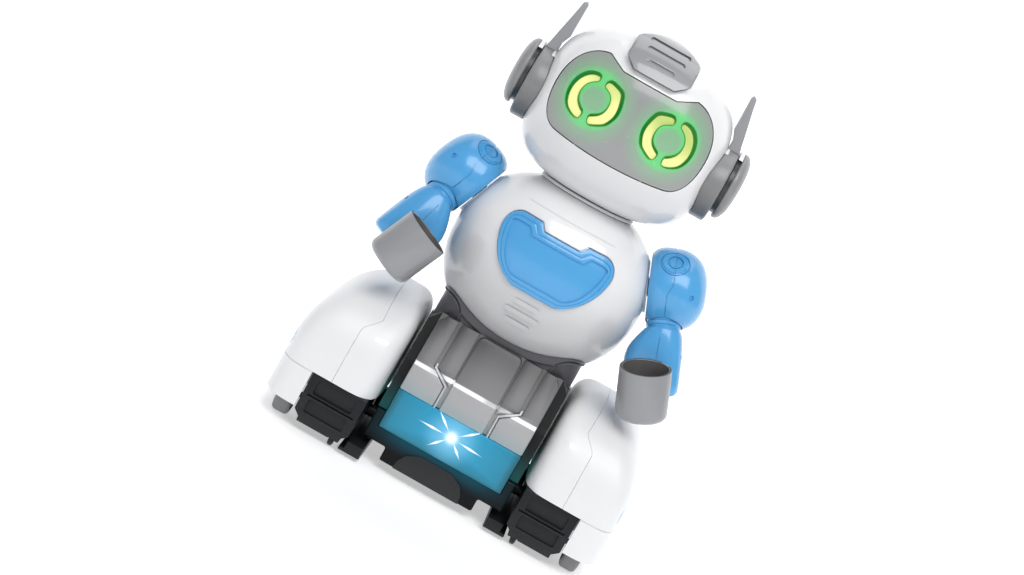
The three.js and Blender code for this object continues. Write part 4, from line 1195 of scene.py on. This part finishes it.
def fender_shell():
    inner = block(10, LEG["skirt_inner"], -FAR, FAR, -10, LEG["hem"])
    return cut(leg_form(), leg_form(WALL, 5), inner)


def fender_outer():
    """The outer half, with a seat behind the side cap and a crease above its skirt."""
    seat_x = CAP_LOW.x - GAP
    seat = common(leg_form(0.3), cap_prism(2.2, seat_x - WALL, seat_x))
    shell = join(cut(fender_shell(), inside_seam(SEAM_GAP)), seat)
    crease = cut(block(LEG["skirt_inner"] - 6, 90, -FAR, FAR, 23.85, 24.25), leg_form(0.3))
    return cut(shell, cap_prism(GAP, seat_x, 90), crease)


def fender_inner():
    return common(fender_shell(), inside_seam(-SEAM_GAP))


def leg_cap():
    return soften(common(leg_form(0.05), cap_prism(0, CAP_LOW.x, 90)), 0.3)


def tread_shoe():
    """The black shoe, with two grooves and two insets at each end and a slot for the sole wheel."""
    inner, outer = SHOE_LOW.x, SHOE_HIGH.x
    deep, top, bottom = LEG["deep"], SHOE_HIGH.z, SHOE_LOW.z
    ends = side_prism(with_mirror([(deep - 3.4, bottom), (deep - 1, 8), (deep, 15), (deep - 1, top)]),
                      inner, outer)
    sides = [(inner, 30), (inner, 8.2), (inner + 2.6, 5.6), (inner + 2.6, 0), (outer - 2.6, 0),
             (outer - 2.6, 5.6), (outer, 8.2), (outer, 30)]
    shoe = soften(common(ends, front_prism(sides, -60, 60)), 0.6, 3)
    tools = [block(45, 55.5, -38, 38, 9.6, 40)]
    for end in (-1, 1):
        for z in (15.6, 7.3):
            groove = block(inner + 1.6, outer - 2.0, -60, 60, z - 0.35, z + 0.35)
            tools.append(cut(groove, block(0, 90, -42.6, 42.6, 0, 40)))
        for low, high in ((16.6, 22.4), (8.6, 14.4)):
            shape = rounded_box(inner + 3.4, outer - 3.4, low, high, 0.9)
            tools.append(outward(front_prism(shape, 42.0 * end, 60 * end)))
    tools += [bar("x", 2.75, inner - 1, 42, y, SHAFT_Z, 40) for y in (-SHAFT_Y, SHAFT_Y)]
    wheel = centre_mm("left_sole_wheel")
    wheel_y = wheel.y - LEG_SHIFT
    tools.append(block(wheel.x - 1.5, wheel.x + 1.5, wheel_y - 5.2, wheel_y + 5.2, -2, 9.6))
    return cut(shoe, *tools)


def sole_block():
    low, high = corner_mm("left_sole_block")

    def runner(height, x1):
        points = with_mirror([(34, 0), (40.5, 1.8), (40.5, height)])
        return side_prism(points, low.x, x1)

    return soften(join(runner(high.z, SOLE_OUTER), runner(3.1, high.x)), 0.3)


def wheel(node, middle, stub, half_profile, sides):
    """A wheel and its axle stubs, turned. The half profile goes outwards from the wheel's middle."""
    low, high = corner_mm(node)
    left = [(middle - x, r) for x, r in reversed(half_profile)]
    right = [(middle + x, r) for x, r in half_profile]
    profile = [(low.x, 0), (low.x, stub)] + left + right + [(high.x, stub), (high.x, 0)]
    place = centre_mm(node)
    return turned(profile, place.y - LEG_SHIFT, place.z, sides)


def sole_wheel():
    place = centre_mm("left_sole_wheel")
    radius = place.z
    half = [(0.4, radius), (0.8, radius - 0.15), (1.1, radius - 0.7), (1.1, 0.95)]
    return wheel("left_sole_wheel", place.x, 0.95, half, 72)


ROLLER_X = 64
TYRE = {"half": 3.5, "round": 1.6}


def roller(node):
    """A roller with a round-edged tyre and a dished hub."""
    inner, corner, radius = TYRE["half"] - TYRE["round"], TYRE["round"], centre_mm(node).z
    half = [(inner + corner * out, radius - corner + corner * up) for out, up in quarter(8)]
    half += [(3.5, 7.6), (2.9, 7.2), (2.9, 3.8), (3.5, 3.4), (3.5, 1.2)]
    return wheel(node, ROLLER_X, 1.2, half, 80)


def build_legs():
    """Both legs: the left one is drawn in the middle of its step, and each is moved to its place."""
    left, right = (Matrix.Translation((0, shift * MM, 0)) for shift in (LEG_SHIFT, -LEG_SHIFT))
    pieces = [(fender_outer(), "fender_outer", FENDER_WHITE), (fender_inner(), "fender_inner", FENDER_WHITE),
              (leg_cap(), "leg_cap", BLUE), (tread_shoe(), "tread_shoe", BLACK),
              (sole_block(), "sole_block", BLACK), (sole_wheel(), "sole_wheel", BLACK),
              (roller("left_front_roller"), "front_roller", RUBBER),
              (roller("left_rear_roller"), "rear_roller", RUBBER)]
    for piece, name, material in pieces:
        pair(piece, name, material, left, right)


# ---- arms -------------------------------------------------------------------------------

def arm_point(out, y, down):
    point = SHOULDER + ALONG * out + DOWN * down
    return (point.x, point.y + y, point.z)


def arm_ring(down, out, half_out, y, half_y, sharp, slope=0.0, sides=72):
    ring = level_ring(-half_out, half_out, 0, half_y, 0, sharp, sides)
    return [arm_point(out + a, y + b, down - slope * b) for a, b, _ in ring]


def barrel_form(grow=0.0):
    """The shoulder's rounded barrel, turned about the shoulder axis."""
    radius, waist, face, tip = (BARREL[key] for key in ("radius", "waist", "face", "tip"))
    profile = []
    for i in range(13):
        out = -face + (waist + face) * i / 12
        profile.append((radius * fullness((waist - out) / 10.2, 3), out))
    for t, _ in quarter(32)[1:]:
        profile.append((radius * fullness(min(t, 0.9999), 2.5), waist + (tip - waist) * t))
    rings = [[(p, q, out * (1 + grow / tip)) for p, q in circle(max(r + grow, 0.02), 112)]
             for r, out in profile]
    return along_shoulder(loft(rings))


def on_barrel(out, up, y):
    """A frame on the left shoulder's surface: Z runs out from the shoulder's middle."""
    towards = (ALONG * out - DOWN * up + Vector((0, y, 0))).normalized()
    return Matrix.Translation(SHOULDER * MM) @ towards.to_track_quat("Z", "Y").to_matrix().to_4x4()


def ring_tool(inner, outer, depth_from, depth_to):
    tool = bar("z", outer, depth_from, depth_to, 0, 0, 80)
    if inner:
        tool = cut(tool, bar("z", inner, depth_from - 1, depth_to + 1, 0, 0, 80))
    return tool


def elbow_bar(start, radius, end):
    out, y = ELBOW_AT
    return loft([arm_ring(start, out, radius, y, radius, 2, ELBOW_LEAN),
                 arm_ring(end, out, radius, y, radius, 2)])


def shoulder_form():
    """The barrel with its round moulded coin at the front, a pin mark, and the elbow's socket."""
    place = on_barrel(0.7, 12.4, -11.0)
    raised = ring_tool(3.2, 4.9, 4, 30)
    raised.data.transform(place)
    barrel = join(barrel_form(), common(barrel_form(0.42), raised))
    shell = cut(barrel_form(1.5), barrel_form(-0.42))
    grooves = []
    for inner, outer in ((2.6, 3.0), (5.5, 5.9)):
        tool = ring_tool(inner, outer, 4, 30)
        tool.data.transform(place)
        grooves.append(common(tool, copied(shell)))
    bpy.data.objects.remove(shell)
    dimple = bar("z", 1.1, 15.9, 30, 0, 0, 40)
    dimple.data.transform(on_barrel(8.2, -0.4, -14.0))
    return cut(barrel, elbow_bar(10, 7.5, 30), dimple, *grooves)


SHOULDER_SEAM = [(0.9, -40), (0.9, -4.5), (0.7, -3.9), (-1.1, -0.3), (-1.3, 0.3), (-1.3, 40)]


def beyond_seam(shift):
    """Everything outside the shoulder's seam, which steps inwards half-way down."""
    outline = SHOULDER_SEAM + [(40, 40), (40, -40)]
    return loft([[arm_point(out + shift, y, down) for out, down in outline] for y in (-40, 40)])


def seam_lip(grow):
    """The lip inside the seam that the two halves of the shoulder share."""
    lip = common(barrel_form(-0.55 + grow), beyond_seam(-1.4 - grow))
    return cut(lip, beyond_seam(2), elbow_bar(8.5, 9.5, 30))


def shoulder_inner():
    inner = cut(shoulder_form(), beyond_seam(-0.11), seam_lip(0.08))
    return soften(join(inner, shoulder_bar(3.8, -BARREL["face"] - 8, -BARREL["face"] + 1, 48)), 0.1, 1, 50)


def shoulder_outer():
    return soften(join(common(shoulder_form(), beyond_seam(0.11)), seam_lip(0.0)), 0.1, 1, 50)


def cup_form(radius, start, end, round_off=0.0):
    """A leaning cylinder where the hand's cup is, with its lower edge rounded off if wanted."""
    def ring(down, r):
        y = CUP["y"] + (down - CUP["rim"]) * CUP["lean"]
        return arm_ring(down, CUP["out"], r, y, r, 2, CUP["lean"], 96)

    edge = [ring(end - round_off * (1 - down), radius - round_off * (1 - out)) for down, out in quarter(6)]
    return loft([ring(start, radius)] + (edge if round_off else [ring(end, radius)]))


# The ringed neck of the forearm: distance down the arm, and radius.
ELBOW_NECK = [(11.2, 6.9), (12.3, 6.95), (12.6, 6.4), (13.1, 6.4), (13.4, 6.95), (14.6, 6.95), (14.9, 6.4),
        (15.5, 6.4)]
# The forearm's sections: down, out, half width, Y, half depth, sharpness, slope.
FOREARM = [(down, ELBOW_AT[0], half, ELBOW_AT[1], half, 2, ELBOW_LEAN) for down, half in ELBOW_NECK] + [
    (16.2, -1.4, 7.5, -6.55, 7.2, 2.05, -0.42), (17.2, -1.6, 8.1, -6.6, 7.7, 2.1, -0.38),
    (19.0, -2.2, 9.1, -6.75, 8.3, 2.2, -0.29), (21.5, -3.0, 10.2, -6.9, 9.0, 2.35, -0.17),
    (24.0, -3.6, 10.95, -7.0, 9.35, 2.45, -0.06), (27.0, -3.9, 11.4, -7.15, 9.5, 2.6, 0),
    (31.0, -4.0, 11.5, -7.4, 9.2, 2.7, 0), (35.5, -3.8, 11.3, -7.4, 8.6, 2.7, 0),
    (39.0, -3.6, 11.0, -7.2, 8.0, 2.6, 0), (40.4, -3.6, 10.3, -7.1, 7.4, 2.6, 0),
    (41.0, -3.6, 9.2, -7.0, 6.6, 2.5, 0),
]
# Just inside them, for the depth of the seam down the front.
FOREARM_CORE = [
    (15.5, -1.3, 5.9, -6.5, 5.9, 2, -0.45), (21.5, -3.0, 9.8, -6.9, 8.6, 2.35, -0.17),
    (27, -3.9, 11.0, -7.15, 9.1, 2.6), (41.5, -3.6, 9.2, -7.0, 6.6, 2.5),
]


def forearm():
    """The forearm, with a seam down its front, a pin hole and a seat for the cup."""
    arm, core = (loft([arm_ring(*ring) for ring in rings]) for rings in (FOREARM, FOREARM_CORE))
    seam = ((-2.1, 17), (-1.9, 17), (-3.6, 40), (-3.8, 40))
    seam = loft([[arm_point(out, y, down) for out, down in seam] for y in (-40, -3)])
    hole = bar("x", 0.9, 0, 40, -9.5, 0, 32)
    turn = ALONG.to_track_quat("X", "Z").to_matrix().to_4x4()
    hole.data.transform(Matrix.Translation(Vector(arm_point(3.5, 0, 25)) * MM) @ turn)
    return soften(cut(arm, cut(seam, core), cup_form(CUP["radius"] + 0.15, 10, 60), hole), 0.12, 1, 50)


def hand_cup():
    length, rim = CUP["length"], CUP["rim"]
    outer = cup_form(CUP["radius"], rim, rim + length, 2.8)
    inner = cup_form(CUP["radius"] - CUP["wall"], rim - 2, rim + length - 1.6, 1.2)
    return soften(cut(outer, inner), 0.22, 2, 50)


def inside_cup(start, end):
    """A test for a place inside the hollow of a cup whose axis runs between two points."""
    axis = (end - start).normalized()
    floor = (end - start).length - 1.3
    limit = CUP["radius"] - CUP["wall"] + 0.12

    def test(place):
        along = (place - start).dot(axis)
        return along < floor and (place - start - axis * along).length < limit

    return test


def flip(v):
    return Vector((-v.x, v.y, v.z))


def about(pivot, axis, angle):
    spot = pivot * MM
    return Matrix.Translation(spot) @ Matrix.Rotation(angle, 4, axis) @ Matrix.Translation(-spot)


def build_arms():
    """Both arms: the right one is a mirror twin, swung and turned to where it rests."""
    swing = about(flip(SHOULDER), flip(ALONG), RIGHT_SWING)
    turned_in = swing @ about(flip(ELBOW), flip(DOWN), RIGHT_TWIST)
    pair(shoulder_inner(), "shoulder_inner", BLUE, right_place=swing)
    pair(shoulder_outer(), "shoulder_outer", BLUE, right_place=swing)
    pair(forearm(), "forearm", BLUE, right_place=turned_in)
    left_cup, right_cup = pair(hand_cup(), "hand_cup", GREY, right_place=turned_in)
    start = Vector(arm_point(CUP["out"], CUP["y"], CUP["rim"]))
    end = Vector(arm_point(CUP["out"], CUP["y"] + CUP["length"] * CUP["lean"], CUP["rim"] + CUP["length"]))
    # The hollow of each cup gets dark painted shade.
    second_material(left_cup, CUP_SHADE, inside_cup(start, end))
    start, end = (turned_in @ (flip(v) * MM) / MM for v in (start, end))
    second_material(right_cup, CUP_SHADE, inside_cup(start, end))


# ---- CAD nodes that stay --------------------------------------------------------------------

CARRIED_OVER = {
    "neck_tube": BLACK, "power_switch": BLACK, "drive_crank_shaft": BLACK, "idler_crank_shaft": BLACK,
    "motor_worm": NYLON, "drive_motor": STEEL, "speaker": STEEL, "main_board": BOARD, "eye_board": BOARD,
    "battery_cell_1": CELL, "battery_cell_2": CELL, "battery_cell_3": CELL,
}


def dress_carried_over():
    for node, material in CARRIED_OVER.items():
        data = frame["nodes"][node].data
        data.materials.clear()
        data.materials.append(material)


# ---- studio -----------------------------------------------------------------------------

def add_floor():
    """A floor that curves up into a backdrop."""
    start, bend, height, half = 1.2, 0.8, 3.5, 4.0
    curve = [(start + bend * along, bend - bend * up) for along, up in quarter(16)]
    line = [(-3.0, 0.0)] + curve + [(start + bend, height)]
    points = [(x, y, z) for y, z in line for x in (-half, half)]
    faces = [(2 * i, 2 * i + 1, 2 * i + 3, 2 * i + 2) for i in range(len(line) - 1)]
    mesh = bpy.data.meshes.new("floor")
    mesh.from_pydata(points, [], faces)
    mesh.materials.append(pale_floor())
    mesh.shade_smooth()
    floor = bpy.data.objects.new("floor", mesh)
    bpy.context.scene.collection.objects.link(floor)


def area_light(name, away, size, power):
    """A rectangular light that looks at the middle of the object."""
    light = bpy.data.lights.new(name, "AREA")
    light.shape = "RECTANGLE"
    light.size, light.size_y = size
    light.energy = power
    obj = bpy.data.objects.new(name, light)
    place = Vector((0, 0, 0.11)) + away
    obj.matrix_world = Matrix.Translation(place) @ away.to_track_quat("Z", "Y").to_matrix().to_4x4()
    bpy.context.scene.collection.objects.link(obj)


def add_lights():
    area_light("key", Vector((0.19, -0.69, 0.70)) * 1.2, (0.95, 0.62), 8.5)
    area_light("top", Vector((0, 0.25, 1.2)), (1.0, 0.8), 3.5)
    world = bpy.data.worlds.new("studio")
    world.use_nodes = True
    background = world.node_tree.nodes["Background"]
    background.inputs["Color"].default_value = (0.965, 0.972, 1.0, 1)
    background.inputs["Strength"].default_value = 0.42
    bpy.context.scene.world = world
    bpy.context.scene.view_settings.view_transform = "Standard"


add_camera()
build_head()
build_face()
build_vent_plate()
build_ears()
build_torso_front()
build_torso_rear()
build_battery_door()
build_badge()
build_collar()
build_waist()
build_panel_trim()
build_lower_front()
build_lower_rear()
build_light_bar()
build_tub()
build_legs()
build_arms()
dress_carried_over()
add_floor()
add_lights()
